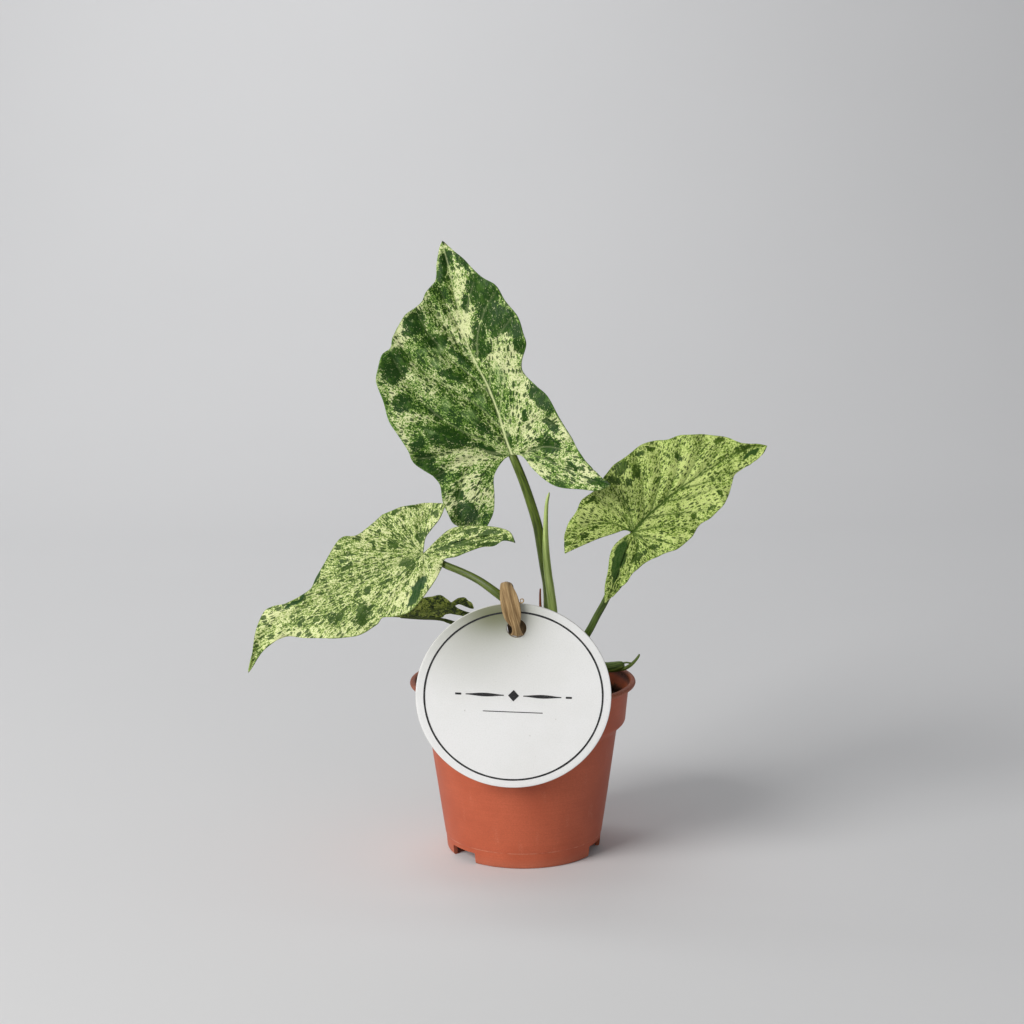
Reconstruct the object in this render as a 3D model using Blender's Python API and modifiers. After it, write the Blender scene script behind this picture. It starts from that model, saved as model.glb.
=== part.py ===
"""Arrowhead plant in a small terracotta-coloured nursery pot with a round card tag.

Z is up and the pot stands on Z = 0. The front, where the card hangs, is -Y. Lengths are written in
millimetres from the pot's axis and turned into metres by MM. All pieces hang on one empty, which moves
the pot's axis so that the origin lies under the middle of the whole plant.
"""
import bpy
import bmesh
import math
import numpy as np
from mathutils import Matrix

MM = 0.001

# driving dimensions, in millimetres
AXIS_X = 3.17
AXIS_Y = 2.99
POT_HEIGHT = 45.5
LIP_RADIUS = 30.0
COLLAR_TOP_RADIUS = 28.1
COLLAR_FOOT_RADIUS = 27.3
COLLAR_FOOT_HEIGHT = 34.6
BODY_TOP_RADIUS = 25.1
BASE_RADIUS = 20.5
WALL = 1.0
FLOOR_UNDER = 3.2
FLOOR_TOP = 4.4
POT_STEPS = 72
SOIL_STEPS = 48
CROWN_STEPS = 32
NOTCH_HEIGHT = 2.8
NOTCH_WIDTH = 9.2
NOTCH_DEPTH = 7.0
NOTCH_ROUNDING = 0.4
NOTCH_ANGLES = (-51.0, 69.0, 189.0)
SEAT = 0.3
SOIL_TOP = 39.5
CROWN_RADIUS = 5.4
CROWN_TOP = 46.5
CROWN_FOOT = 29.0
CROWN_X = 7.8
CROWN_Y = 0.0
THINNEST_STALK = 0.25
CUT_OVER = 2.0
BLADE_THICKNESS = 0.7
SMALL_BLADE_THICKNESS = 0.6
TAG_RADIUS = 24.15
TAG_THICKNESS = 0.6
TAG_HOLE_RADIUS = 2.35
TAG_HOLE_OFFSET = 17.9
TAG_SIDES = 96
HOLE_SIDES = 32
TAG_LEAN = 7.0
TAG_TURN = 2.8
TAG_CENTRE = (-2.5, -31.05, 48.1)

# blade outlines as seen from the front, in millimetres
# a runs from the stalk junction to the tip and b to the side; each half has the sinus edge out to
# the lobe's end, the outer margin from there to the tip, and the lobe's own vein
TALL_LEAF = {
    "junction": (-2.5, -2.0, 105.2), "turn": 107.8, "length": 58.0,
    "midrib": [(0, 0), (5, 0.2), (11, 0), (19, 0.5), (24.5, 1.5), (28.5, 2.8), (33.5, 3),
               (39, 1.8), (44.5, 1), (50, 0.5), (58, 0)],
    "plus": {
        "sinus": [(0, 0), (-0.5, 2.5), (-3.5, 6), (-8.5, 7.5), (-12, 9), (-15, 12)],
        "vein": [(0, 0), (0.5, 4), (-3.5, 10), (-9, 13), (-15, 12)],
        "margin": [(-15, 12), (-14, 15.5), (-12, 19), (-9, 20), (-5.5, 20.5), (-1.5, 20), (1.5, 21),
                   (6, 24.5), (10, 25), (15, 26.5), (19, 27.5), (24, 27.3), (29, 27.5), (32, 26),
                   (35, 24), (36, 21.5), (38.5, 20), (41, 17.5), (43, 15), (44.5, 10.5), (47, 8),
                   (49, 4.8), (53, 3.2), (56.5, 1.3), (58, 0)],
        "shoulder": 6},
    "minus": {
        "sinus": [(0, 0), (-1, -2.5), (-4.5, -4), (-8.5, -6), (-11, -9), (-13.5, -14), (-15, -18.5),
                  (-14, -22.5)],
        "vein": [(0, 0), (-0.5, -5.5), (-5.5, -11), (-10.5, -17), (-14, -22.5)],
        "margin": [(-14, -22.5), (-9, -19), (-4.5, -17), (0.5, -16), (6.5, -14.5), (12, -13.5),
                   (15.5, -11.5), (19.5, -9.5), (22.5, -10), (26, -12.3), (29, -12.5), (33.5, -12.5),
                   (38.5, -10.7), (43, -9.5), (46.5, -6.5), (51.5, -4), (55.5, -1.5), (58, 0)],
        "shoulder": 3},
    "lean": 0.20, "side": 0.265, "fold": 0.485, "arch": -4.0, "lobe_cup": 0.020,
    "wave": 0.8, "wave_count": 4.5,
}
LEFT_LEAF = {
    "junction": (-24.9, -21.0, 82.3), "turn": -146.3, "length": 53.0,
    "midrib": [(0, 0), (6, -1), (11.5, -1.6), (22, -3), (33, -3.7), (42, -4.6), (48.5, -2.4), (53, 0)],
    "plus": {
        "sinus": [(0, 0), (-5, -1), (-9, -1.4), (-12.5, -0.2), (-17, 2.6), (-20, 5), (-21.5, 7),
                  (-21.3, 9.6)],
        "vein": [(0, 0), (-4, 1.2), (-10, 2.4), (-16, 4.8), (-20, 7), (-21.3, 9.6)],
        "margin": [(-21.3, 9.6), (-19, 8), (-16, 7.8), (-12.5, 6), (-7.5, 5), (-4, 4), (-2, 5.4),
                   (0.3, 6.6), (3.5, 7.8), (6.5, 8.7), (10.4, 9.3), (14, 8.2), (16.7, 7), (19, 7.7),
                   (24.5, 7), (30.6, 3.8), (36, 0.8), (40, -2), (44.5, -2.7), (48.5, -1.9), (51, -0.8),
                   (53, 0)],
        "shoulder": 6},
    "minus": {
        "sinus": [(0, 0), (-2.5, -2.8), (-5.5, -4), (-8.5, -5), (-11.5, -7)],
        "vein": [(0, 0), (-1.8, -3.8), (-6, -6.5), (-11.5, -7)],
        "margin": [(-11.5, -7), (-8, -9.5), (-2, -12.5), (3.5, -13.5), (8, -13), (11.5, -13),
                   (14.5, -14.6), (17.5, -14), (22, -11.8), (26, -9.9), (28.7, -8.4), (32.5, -8.5),
                   (36.5, -9), (39.5, -10), (42, -10), (46, -7.4), (50, -3), (53, 0)],
        "shoulder": 3},
    "lean": -0.10, "side": -0.46, "fold": 0.16, "arch": 3.0, "lobe_cup": 0.012,
    "wave": 0.8, "wave_count": 4.0,
}
RIGHT_LEAF = {
    "junction": (28.1, -14.0, 86.4), "turn": 31.7, "length": 40.6,
    "midrib": [(0, 0), (4, 1.1), (9.5, 1.9), (14, 2.4), (19.5, 2.8), (25, 2.3), (30, 1),
               (35.5, 0.5), (40.6, 0)],
    "plus": {
        "sinus": [(0, 0), (-1.5, 1.6), (-4, 2.4), (-8, 3.6), (-11.5, 4.4), (-17, 5.6)],
        "vein": [(0, 0), (-3.5, 4.6), (-9.5, 7.2), (-17, 5.6)],
        "margin": [(-17, 5.6), (-15, 9), (-12.3, 11), (-9, 12.5), (-6.8, 13.8), (-3.5, 14),
                   (-1, 14.4), (1.5, 15.6), (4.3, 16.5), (7.2, 16.8), (11, 17), (14.1, 17.1),
                   (17.6, 15.8), (20, 14.7), (23.6, 13.8), (27.5, 11.6), (31.2, 8.8), (33.7, 6.5),
                   (35.6, 4.1), (39, 1.5), (40.6, 0)],
        "shoulder": 7},
    "minus": {
        "sinus": [(0, 0), (-2.7, 0.4), (-5.6, 0.1), (-7.8, -1.2), (-10.3, -4), (-12.8, -6.5), (-15, -9.7)],
        "vein": [(0, 0), (-3, -2.2), (-7.2, -5), (-11, -7.8), (-15, -9.7)],
        "margin": [(-15, -9.7), (-11.5, -9.7), (-7.2, -8.6), (-4.3, -7.8), (0.4, -7.9), (4.6, -8.5),
                   (8.5, -9), (12, -8.6), (15.4, -7.4), (18.8, -7.2), (22.5, -6.4), (25.7, -4.9),
                   (27.8, -3.3), (29.6, -1.8), (32.3, -1.5), (35, -1.5), (38, -1.2), (40.6, 0)],
        "shoulder": 4},
    "lean": 0.20, "side": 0.335, "fold": 0.115, "arch": -3.0, "lobe_cup": 0.015,
    "wave": 0.7, "wave_count": 4.0,
}
SMALL_LEAF = {
    "junction": (-18.8, -9.0, 65.7), "turn": 186.9, "length": 18.3,
    "midrib": [(0, 0), (6, -0.6), (12, -0.6), (18.3, 0)],
    "plus": {
        "sinus": [(0, 0), (-1.3, 0.1), (-2.6, 0.3), (-4.2, 0.8), (-5.8, 1.6)],
        "vein": [(0, 0), (-1.2, 0.8), (-3.4, 1.3), (-5.8, 1.6)],
        "margin": [(-5.8, 1.6), (-4.3, 2.2), (-2.3, 2), (0, 1.9), (3, 2), (7, 1.4), (12, 0.8),
                   (15.5, 0.4), (18.3, 0)],
        "shoulder": 3},
    "minus": {
        "sinus": [(0, 0), (-0.9, -0.2), (-2.2, -0.5), (-4, -0.3), (-6.1, 0.8)],
        "vein": [(0, 0), (-0.9, -0.9), (-3, -1.3), (-4.8, -0.8), (-6.1, 0.8)],
        "margin": [(-6.1, 0.8), (-5, -1.4), (-3, -2.1), (-0.9, -1.6), (0.8, -2.4), (2.1, -2.9),
                   (4.3, -2.7), (6.5, -2.7), (10, -2.3), (14, -1.2), (18.3, 0)],
        "shoulder": 4},
    "lean": 0.0, "side": -1.3, "fold": 0.15, "arch": 0.0, "lobe_cup": 0.0,
    "wave": 0.0, "wave_count": 1.0,
}

# stalks and shoots: points and radii along the piece, in millimetres
TALL_STALK = [(7.6, 1.0, 46.8, 2.0), (7.6, 0.9, 48.4, 2.0), (7.5, 0.0, 53.0, 1.9),
              (7.3, -1.0, 64.2, 1.6), (6.9, -1.0, 70.4, 1.45), (6.1, -1.0, 74.7, 1.35),
              (5.1, -1.0, 80.8, 1.3), (4.1, -1.0, 86.4, 1.25), (2.4, -1.0, 92.3, 1.2),
              (0.3, -1.0, 98.5, 1.15), (-1.5, -1.2, 103.0, 1.1), (-2.2, -1.5, 104.3, 0.6)]
LEFT_STALK = [(5.0, -3.0, 46.8, 1.4), (4.9, -4.5, 48.8, 1.4), (4.4, -10.0, 53.0, 1.35),
              (3.6, -18.5, 60.0, 1.3), (2.4, -26.0, 66.0, 1.2), (0.6, -29.2, 68.6, 1.15),
              (-1.2, -30.2, 69.9, 1.1), (-3.4, -30.4, 71.6, 1.1), (-6.6, -29.8, 74.0, 1.05),
              (-10.7, -27.8, 76.6, 0.95), (-14.9, -25.0, 78.3, 0.9), (-19.2, -21.5, 79.5, 0.88),
              (-23.0, -19.1, 81.0, 0.8), (-24.4, -19.4, 81.8, 0.45)]
RIGHT_STALK = [(11.6, -0.9, 46.8, 1.2), (11.7, -1.1, 48.0, 1.2), (13.3, -4.0, 52.5, 1.1),
               (17.0, -8.0, 59.3, 0.95), (19.3, -8.5, 63.8, 0.9), (21.6, -9.0, 68.2, 0.88),
               (25.5, -10.2, 77.4, 0.85), (27.6, -11.8, 83.8, 0.8), (28.0, -12.9, 85.6, 0.45)]
SMALL_STALK = [(4.0, 1.4, 46.8, 0.85), (3.8, 1.4, 48.0, 0.85), (1.0, -0.5, 51.8, 0.75),
               (-7.0, -5.0, 57.0, 0.65), (-13.0, -8.5, 60.2, 0.6), (-17.0, -9.8, 62.1, 0.55),
               (-19.4, -10.2, 63.0, 0.5), (-20.3, -10.4, 63.4, 0.35)]
SPEAR_LEAF = [(9.2, -2.3, 46.8, 1.1), (9.2, -2.4, 48.2, 1.1), (9.2, -3.2, 55.0, 1.15),
              (8.2, -4.0, 64.5, 1.15), (6.9, -3.9, 73.8, 1.1), (6.3, -3.6, 80.4, 0.95),
              (6.3, -3.3, 85.7, 0.75), (6.5, -3.2, 90.9, 0.45), (7.0, -3.0, 94.8, 0.28)]
CURLED_SHOOT = [(10.8, 3.3, 46.8, 1.15), (11.2, 3.5, 48.2, 1.2), (14.0, 5.0, 49.3, 1.2),
                (18.0, 6.6, 48.2, 1.25), (22.6, 7.0, 46.6, 1.3), (24.6, 6.5, 46.6, 1.3),
                (26.6, 6.2, 47.0, 1.0), (28.2, 5.8, 46.7, 0.65), (29.5, 5.6, 47.8, 0.45),
                (30.8, 5.6, 49.1, 0.35), (31.5, 5.6, 50.0, 0.25)]

# dried sheath: middle of the sliver and its width, depth and height, in millimetres
DRIED_SHEATH_CENTRE = (4.83, -1.2, 65.95)
DRIED_SHEATH_SIZE = (0.8, 0.6, 7.9)
DRIED_SHEATH_TAPER = 0.7

# raffia tie: centre line and half width across, in millimetres
TIE_PATH = [(-3.9, -31.0, 76.5, 1.6), (-3.7, -33.2, 75.7, 2.0), (-3.2, -34.9, 73.7, 2.35),
            (-2.7, -35.5, 71.4, 2.35), (-2.2, -35.3, 69.2, 1.85), (-1.7, -34.9, 66.8, 1.2),
            (-1.5, -34.3, 65.2, 1.1), (-1.5, -33.1, 64.7, 1.0), (-1.5, -31.9, 64.9, 1.05),
            (-1.8, -30.6, 65.7, 1.2), (-2.3, -29.0, 66.7, 1.2), (-2.9, -27.8, 69.0, 1.3),
            (-3.5, -27.8, 72.2, 1.4), (-3.8, -28.9, 75.2, 1.5)]
TIE_THICKNESS = 0.9


def clear_scene():
    for obj in list(bpy.data.objects):
        bpy.data.objects.remove(obj, do_unlink=True)


def collection(name):
    col = bpy.data.collections.new(name)
    bpy.context.scene.collection.children.link(col)
    return col


def material(name, colour, roughness):
    mat = bpy.data.materials.new(name)
    mat.use_nodes = True
    shader = mat.node_tree.nodes["Principled BSDF"]
    shader.inputs["Base Color"].default_value = (*colour, 1.0)
    shader.inputs["Roughness"].default_value = roughness
    mat.diffuse_color = (*colour, 1.0)
    return mat


def add_home():
    home = bpy.data.objects.new("pot_axis", None)
    home.location = (AXIS_X * MM, AXIS_Y * MM, 0.0)
    bpy.data.collections["arrowhead_plant"].objects.link(home)


def add_object(name, mesh, mat, smooth=True):
    obj = bpy.data.objects.new(name, mesh)
    obj.parent = bpy.data.objects["pot_axis"]
    bpy.data.collections["arrowhead_plant"].objects.link(obj)
    mesh.materials.clear()
    mesh.materials.append(mat)
    for face in mesh.polygons:
        face.use_smooth = smooth
    return obj


def add_cutter(name, mesh):
    obj = bpy.data.objects.new(name, mesh)
    obj.parent = bpy.data.objects["pot_axis"]
    bpy.data.collections["cutters"].objects.link(obj)
    obj.hide_render = True
    obj.display_type = "WIRE"
    return obj


def mesh_from(name, verts, faces):
    mesh = bpy.data.meshes.new(name)
    mesh.from_pydata([tuple(float(c) * MM for c in v) for v in verts], [], faces)
    mesh.update()
    return mesh


def welded(mesh):
    """Join the loose caps of a curve's mesh to its wall, with every face turned outward."""
    bm = bmesh.new()
    bm.from_mesh(mesh)
    bmesh.ops.remove_doubles(bm, verts=bm.verts, dist=0.00001)
    bmesh.ops.recalc_face_normals(bm, faces=bm.faces)
    bm.to_mesh(mesh)
    bm.free()
    return mesh


def cylinder(name, radius, depth, sides):
    """Closed cylinder about its own Z axis, centred on its origin."""
    mesh = bpy.data.meshes.new(name)
    bm = bmesh.new()
    bmesh.ops.create_cone(bm, cap_ends=True, segments=sides, radius1=radius * MM, radius2=radius * MM,
                          depth=depth * MM)
    bm.to_mesh(mesh)
    bm.free()
    return mesh


def subtract(obj, cutter):
    mod = obj.modifiers.new("cut_" + cutter.name, "BOOLEAN")
    mod.operation = "DIFFERENCE"
    mod.solver = "EXACT"
    mod.object = cutter


def screw(name, profile, steps, mat):
    """Turn a profile of (radius, height) points, outer side first, once about the Z axis."""
    mesh = bpy.data.meshes.new(name)
    pts = [(r * MM, 0.0, z * MM) for r, z in profile]
    edges = [(i, i + 1) for i in range(len(pts) - 1)]
    mesh.from_pydata(pts, edges, [])
    obj = add_object(name, mesh, mat)
    mod = obj.modifiers.new("turn", "SCREW")
    mod.angle = math.tau
    mod.steps = steps
    mod.render_steps = steps
    mod.use_merge_vertices = True
    mod.merge_threshold = 0.00001
    mod.use_smooth_shade = True
    return obj


def curve_rows(q0, q1, q2, q3, t):
    """Points at the shares t of the way from q1 to q2 on the smooth curve through all four."""
    return 0.5 * (2 * q1 + (q2 - q0) * t + (2 * q0 - 5 * q1 + 4 * q2 - q3) * t ** 2
                  + (3 * q1 - q0 - 3 * q2 + q3) * t ** 3)


def spline(points, count):
    """Smooth curve through the points, resampled to count + 1 points evenly along its length."""
    p = np.array(points, dtype=float)
    ends = np.vstack([2 * p[0] - p[1], p, 2 * p[-1] - p[-2]])
    t = np.linspace(0, 1, 24, endpoint=False)[:, None]
    rows = [curve_rows(*ends[i:i + 4], t) for i in range(len(p) - 1)]
    dense = np.vstack(rows + [p[-1:]])
    step = np.linalg.norm(np.diff(dense[:, :3], axis=0), axis=1)
    run = np.concatenate([[0.0], np.cumsum(step)])
    want = np.linspace(0, run[-1], count + 1)
    return np.stack([np.interp(want, run, dense[:, k]) for k in range(dense.shape[1])], axis=1)


def closed_spline(points, steps):
    """Smooth closed curve through the points, with the same number of steps between each two."""
    p = np.array(points, dtype=float)
    t = np.linspace(0, 1, steps, endpoint=False)[None, :, None]
    four = [np.roll(p, shift, axis=0)[:, None, :] for shift in (1, 0, -1, -2)]
    return curve_rows(*four, t).reshape(-1, p.shape[1])


def blade_point(leaf, a, b, t, along):
    """World point of a blade position: front-view place, and depth from lean, fold, arch and wave."""
    rib = np.array(leaf["midrib"], dtype=float)
    off = b - np.interp(a, rib[:, 0], rib[:, 1])
    fold = leaf["fold"] * (math.sqrt(off * off + 1.0) - 1.0)
    reach = a / leaf["length"]
    y = leaf["junction"][1] + leaf["lean"] * a + leaf["side"] * b - fold
    y += leaf["arch"] * max(reach, 0.0) ** 2 - leaf["lobe_cup"] * min(a, 0.0) ** 2
    y += leaf["wave"] * t * t * math.sin(math.tau * leaf["wave_count"] * along)
    turn = math.radians(leaf["turn"])
    x = leaf["junction"][0] + a * math.cos(turn) - b * math.sin(turn)
    z = leaf["junction"][2] + a * math.sin(turn) + b * math.cos(turn)
    return (x, y, z)


def split(quad):
    """The two triangles of a quad, without one that has lost a corner."""
    halves = (quad[0], quad[1], quad[2]), (quad[0], quad[2], quad[3])
    return [tri for tri in halves if len(set(tri)) == 3]


def blade_sheet(name, leaf, rib_rows, lobe_rows, across, inner):
    """Open triangulated sheet of a blade: each half is one strip outside and one inside the veins."""
    points = []
    faces = []
    index = {}

    def vertex(a, b, t, along):
        key = (round(a, 3), round(b, 3))
        if key not in index:
            index[key] = len(points)
            points.append(blade_point(leaf, a, b, t, along))
        return index[key]

    def strip(rows, flip):
        for low, high in zip(rows, rows[1:]):
            for c in range(len(low) - 1):
                quad = [low[c], high[c], high[c + 1], low[c + 1]]
                faces.extend(split(quad[::-1] if flip else quad))

    rib = spline(leaf["midrib"], rib_rows)
    for side, flip in (("plus", False), ("minus", True)):
        half = leaf[side]
        cut = half["shoulder"]
        vein = spline(half["vein"], lobe_rows)
        sinus = spline(half["sinus"], lobe_rows)
        lobe_edge = spline(half["margin"][:cut + 1], lobe_rows)
        main_edge = spline(half["margin"][cut:], rib_rows)
        spine = np.vstack([vein[::-1], rib[1:]])
        edge = np.vstack([lobe_edge, main_edge[1:]])
        rows = []
        for i in range(len(spine)):
            row = []
            for t in np.linspace(0, 1, across + 1):
                a, b = spine[i] * (1 - t) + edge[i] * t
                row.append(vertex(a, b, t, i / (len(spine) - 1)))
            rows.append(row)
        strip(rows, flip)
        rows = []
        for i in range(lobe_rows + 1):
            row = []
            for t in np.linspace(0, 1, inner + 1):
                a, b = vein[i] * (1 - t) + sinus[i] * t
                row.append(vertex(a, b, 0.0, 0.0))
            rows.append(row)
        strip(rows, not flip)
    return welded(mesh_from(name, points, faces))


def thicken(obj, thickness):
    mod = obj.modifiers.new("thickness", "SOLIDIFY")
    mod.thickness = thickness * MM
    mod.offset = 0.0
    mod.use_even_offset = False


def blade(name, leaf, thickness, mat, rib_rows=16, lobe_rows=7, across=5, inner=2):
    obj = add_object(name, blade_sheet(name, leaf, rib_rows, lobe_rows, across, inner), mat)
    thicken(obj, thickness)


def stalk(name, points, mat, resolution=3, rows=18):
    """Round tapering stalk along a smooth line through the points, upright at its foot, with flat caps."""
    line = spline(points, rows)
    rise = np.array([0.0, 0.0, 0.7, 0.0])
    line = np.vstack([line[:1], line[:1] + rise, line[1:]])
    curve = bpy.data.curves.new(name, "CURVE")
    curve.dimensions = "3D"
    curve.bevel_depth = MM
    curve.bevel_resolution = resolution
    curve.use_fill_caps = True
    path = curve.splines.new("POLY")
    path.points.add(len(line) - 1)
    for i, (x, y, z, r) in enumerate(line):
        path.points[i].co = (x * MM, y * MM, z * MM, 1.0)
        path.points[i].radius = max(r, THINNEST_STALK)
    temp = bpy.data.objects.new(name + "_curve", curve)
    bpy.context.scene.collection.objects.link(temp)
    mesh = bpy.data.meshes.new_from_object(temp)
    bpy.data.objects.remove(temp, do_unlink=True)
    mesh.name = name
    add_object(name, welded(mesh), mat)


def tie(name, stations, mat, steps):
    """Flat strap bent into a closed loop, with its width across the loop's plane."""
    line = closed_spline(stations, steps)
    middle = line[:, :3]
    ahead = np.roll(middle, -1, axis=0) - np.roll(middle, 1, axis=0)
    out = np.cross(ahead, (1.0, 0.0, 0.0))
    wide = np.cross(out, ahead)
    wide = wide / np.linalg.norm(wide, axis=1)[:, None] * line[:, 3:]
    count = len(line)
    points = np.vstack([middle - wide, middle, middle + wide])
    faces = []
    for column in (0, count):
        for i in range(count):
            j = (i + 1) % count
            faces.extend(split((column + i, column + j, column + count + j, column + count + i)))
    thicken(add_object(name, welded(mesh_from(name, points, faces)), mat), TIE_THICKNESS)


def build_pot():
    mat = material("pot_plastic", (0.56, 0.17, 0.08), 0.45)
    profile = [
        (LIP_RADIUS - 1.1, POT_HEIGHT), (LIP_RADIUS - 0.3, POT_HEIGHT - 0.1),
        (LIP_RADIUS, POT_HEIGHT - 0.5), (LIP_RADIUS - 0.05, POT_HEIGHT - 1.0),
        (LIP_RADIUS - 0.5, POT_HEIGHT - 1.3), (COLLAR_TOP_RADIUS + 0.4, POT_HEIGHT - 1.4),
        (COLLAR_TOP_RADIUS + 0.05, POT_HEIGHT - 1.9), (COLLAR_TOP_RADIUS, POT_HEIGHT - 2.5),
        (COLLAR_FOOT_RADIUS, COLLAR_FOOT_HEIGHT + 0.3), (COLLAR_FOOT_RADIUS - 0.25, COLLAR_FOOT_HEIGHT - 0.2),
        (BODY_TOP_RADIUS + 0.3, COLLAR_FOOT_HEIGHT - 1.8), (BODY_TOP_RADIUS, COLLAR_FOOT_HEIGHT - 2.3),
        (BASE_RADIUS + 0.55, FLOOR_TOP - 0.1), (BASE_RADIUS + 0.4, FLOOR_TOP - 0.3),
        (BASE_RADIUS, 0.6), (BASE_RADIUS - 0.2, 0.15), (BASE_RADIUS - 0.5, 0.0),
        (BASE_RADIUS - 1.2, 0.0), (BASE_RADIUS - 0.9, FLOOR_UNDER - 0.1), (BASE_RADIUS - 1.9, FLOOR_UNDER),
        (0.0, FLOOR_UNDER), (0.0, FLOOR_TOP), (BASE_RADIUS - 1.2, FLOOR_TOP),
        (BASE_RADIUS - 0.6, FLOOR_TOP + 0.5), (BODY_TOP_RADIUS - WALL, COLLAR_FOOT_HEIGHT - 2.1),
        (BODY_TOP_RADIUS - WALL + 0.2, COLLAR_FOOT_HEIGHT - 1.4),
        (COLLAR_FOOT_RADIUS - WALL, COLLAR_FOOT_HEIGHT + 0.4),
        (COLLAR_TOP_RADIUS - WALL, POT_HEIGHT - 2.5), (COLLAR_TOP_RADIUS - WALL + 0.4, POT_HEIGHT - 1.2),
        (LIP_RADIUS - 1.6, POT_HEIGHT - 0.2), (LIP_RADIUS - 1.1, POT_HEIGHT)]
    pot = screw("pot", profile, POT_STEPS, mat)
    notch = bpy.data.meshes.new("notch")
    bm = bmesh.new()
    bmesh.ops.create_cube(bm, size=MM)
    bmesh.ops.scale(bm, verts=bm.verts, vec=(NOTCH_WIDTH, NOTCH_DEPTH, 2.0 * NOTCH_HEIGHT))
    top = [v for v in bm.verts if v.co.z > 0]
    sides = [e for e in bm.edges if set(e.verts) <= set(top) and e.verts[0].co.x * e.verts[1].co.x > 0]
    bmesh.ops.bevel(bm, geom=sides, offset=NOTCH_ROUNDING * MM, segments=2, profile=0.5, affect="EDGES")
    bm.to_mesh(notch)
    bm.free()
    for number, angle in enumerate(NOTCH_ANGLES, 1):
        cutter = add_cutter("notch_%d" % number, notch)
        turn = math.radians(angle)
        cutter.location = (BASE_RADIUS * MM * math.sin(turn), -BASE_RADIUS * MM * math.cos(turn), 0.0)
        cutter.rotation_euler = (0.0, 0.0, turn)
        subtract(pot, cutter)


def build_soil():
    mat = material("potting_soil", (0.05, 0.035, 0.022), 0.95)
    inner = BODY_TOP_RADIUS - WALL
    profile = [
        (0.0, SOIL_TOP + 1.0), (9.0, SOIL_TOP + 0.9), (16.0, SOIL_TOP + 0.4), (22.0, SOIL_TOP - 0.1),
        (COLLAR_FOOT_RADIUS - WALL - SEAT, SOIL_TOP - 0.5),
        (COLLAR_FOOT_RADIUS - WALL - SEAT - 0.3, COLLAR_FOOT_HEIGHT + 0.6),
        (inner - SEAT, COLLAR_FOOT_HEIGHT - 1.5), (inner - SEAT, COLLAR_FOOT_HEIGHT - 2.4),
        (BASE_RADIUS - 1.4, FLOOR_TOP + SEAT + 0.5), (BASE_RADIUS - 1.9, FLOOR_TOP + SEAT),
        (0.0, FLOOR_TOP + SEAT)]
    soil = screw("potting_soil", profile, SOIL_STEPS, mat)
    depth = SOIL_TOP - CROWN_FOOT + SEAT + CUT_OVER
    hole = add_cutter("crown_hole", cylinder("crown_hole", CROWN_RADIUS + SEAT, depth, HOLE_SIDES))
    hole.location = (CROWN_X * MM, CROWN_Y * MM, (CROWN_FOOT - SEAT + 0.5 * depth) * MM)
    subtract(soil, hole)


def build_crown():
    mat = material("crown_stem", (0.24, 0.26, 0.09), 0.6)
    profile = [
        (0.0, CROWN_TOP), (CROWN_RADIUS - 0.6, CROWN_TOP), (CROWN_RADIUS - 0.1, CROWN_TOP - 0.5),
        (CROWN_RADIUS, CROWN_TOP - 1.5), (CROWN_RADIUS - 0.4, CROWN_TOP - 4.0),
        (CROWN_RADIUS, SOIL_TOP - 1.0), (CROWN_RADIUS - 0.3, CROWN_FOOT + 1.0),
        (CROWN_RADIUS - 1.5, CROWN_FOOT), (0.0, CROWN_FOOT)]
    crown = screw("crown_stem", profile, CROWN_STEPS, mat)
    crown.location = (CROWN_X * MM, CROWN_Y * MM, 0.0)


def build_tag():
    """Round card that leans forward at its top, turned a little in its own plane, with a hole for the tie."""
    mat = material("tag_card", (0.86, 0.86, 0.84), 0.4)
    place = Matrix.Translation([c * MM for c in TAG_CENTRE])
    place @= Matrix.Rotation(math.radians(TAG_LEAN), 4, "X") @ Matrix.Rotation(math.radians(TAG_TURN), 4, "Y")
    face_on = Matrix.Rotation(math.radians(90.0), 4, "X")
    tag = add_object("tag", cylinder("tag", TAG_RADIUS, TAG_THICKNESS, TAG_SIDES), mat, False)
    tag.matrix_basis = place @ face_on
    hole = add_cutter("tag_hole", cylinder("tag_hole", TAG_HOLE_RADIUS, TAG_THICKNESS + CUT_OVER, HOLE_SIDES))
    hole.matrix_basis = place @ Matrix.Translation((0.0, 0.0, TAG_HOLE_OFFSET * MM)) @ face_on
    subtract(tag, hole)


def build_dried_sheath():
    """Thin dry sliver of an old sheath that stands beside the tall stalk, narrower at its tip."""
    mat = material("dried_sheath", (0.25, 0.09, 0.04), 0.8)
    mesh = bpy.data.meshes.new("dried_sheath")
    bm = bmesh.new()
    bmesh.ops.create_cube(bm, size=MM)
    bmesh.ops.scale(bm, verts=bm.verts, vec=DRIED_SHEATH_SIZE)
    top = [v for v in bm.verts if v.co.z > 0]
    bmesh.ops.scale(bm, verts=top, vec=(DRIED_SHEATH_TAPER, DRIED_SHEATH_TAPER, 1.0))
    bm.to_mesh(mesh)
    bm.free()
    sheath = add_object("dried_sheath", mesh, mat, False)
    sheath.location = [c * MM for c in DRIED_SHEATH_CENTRE]


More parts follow.
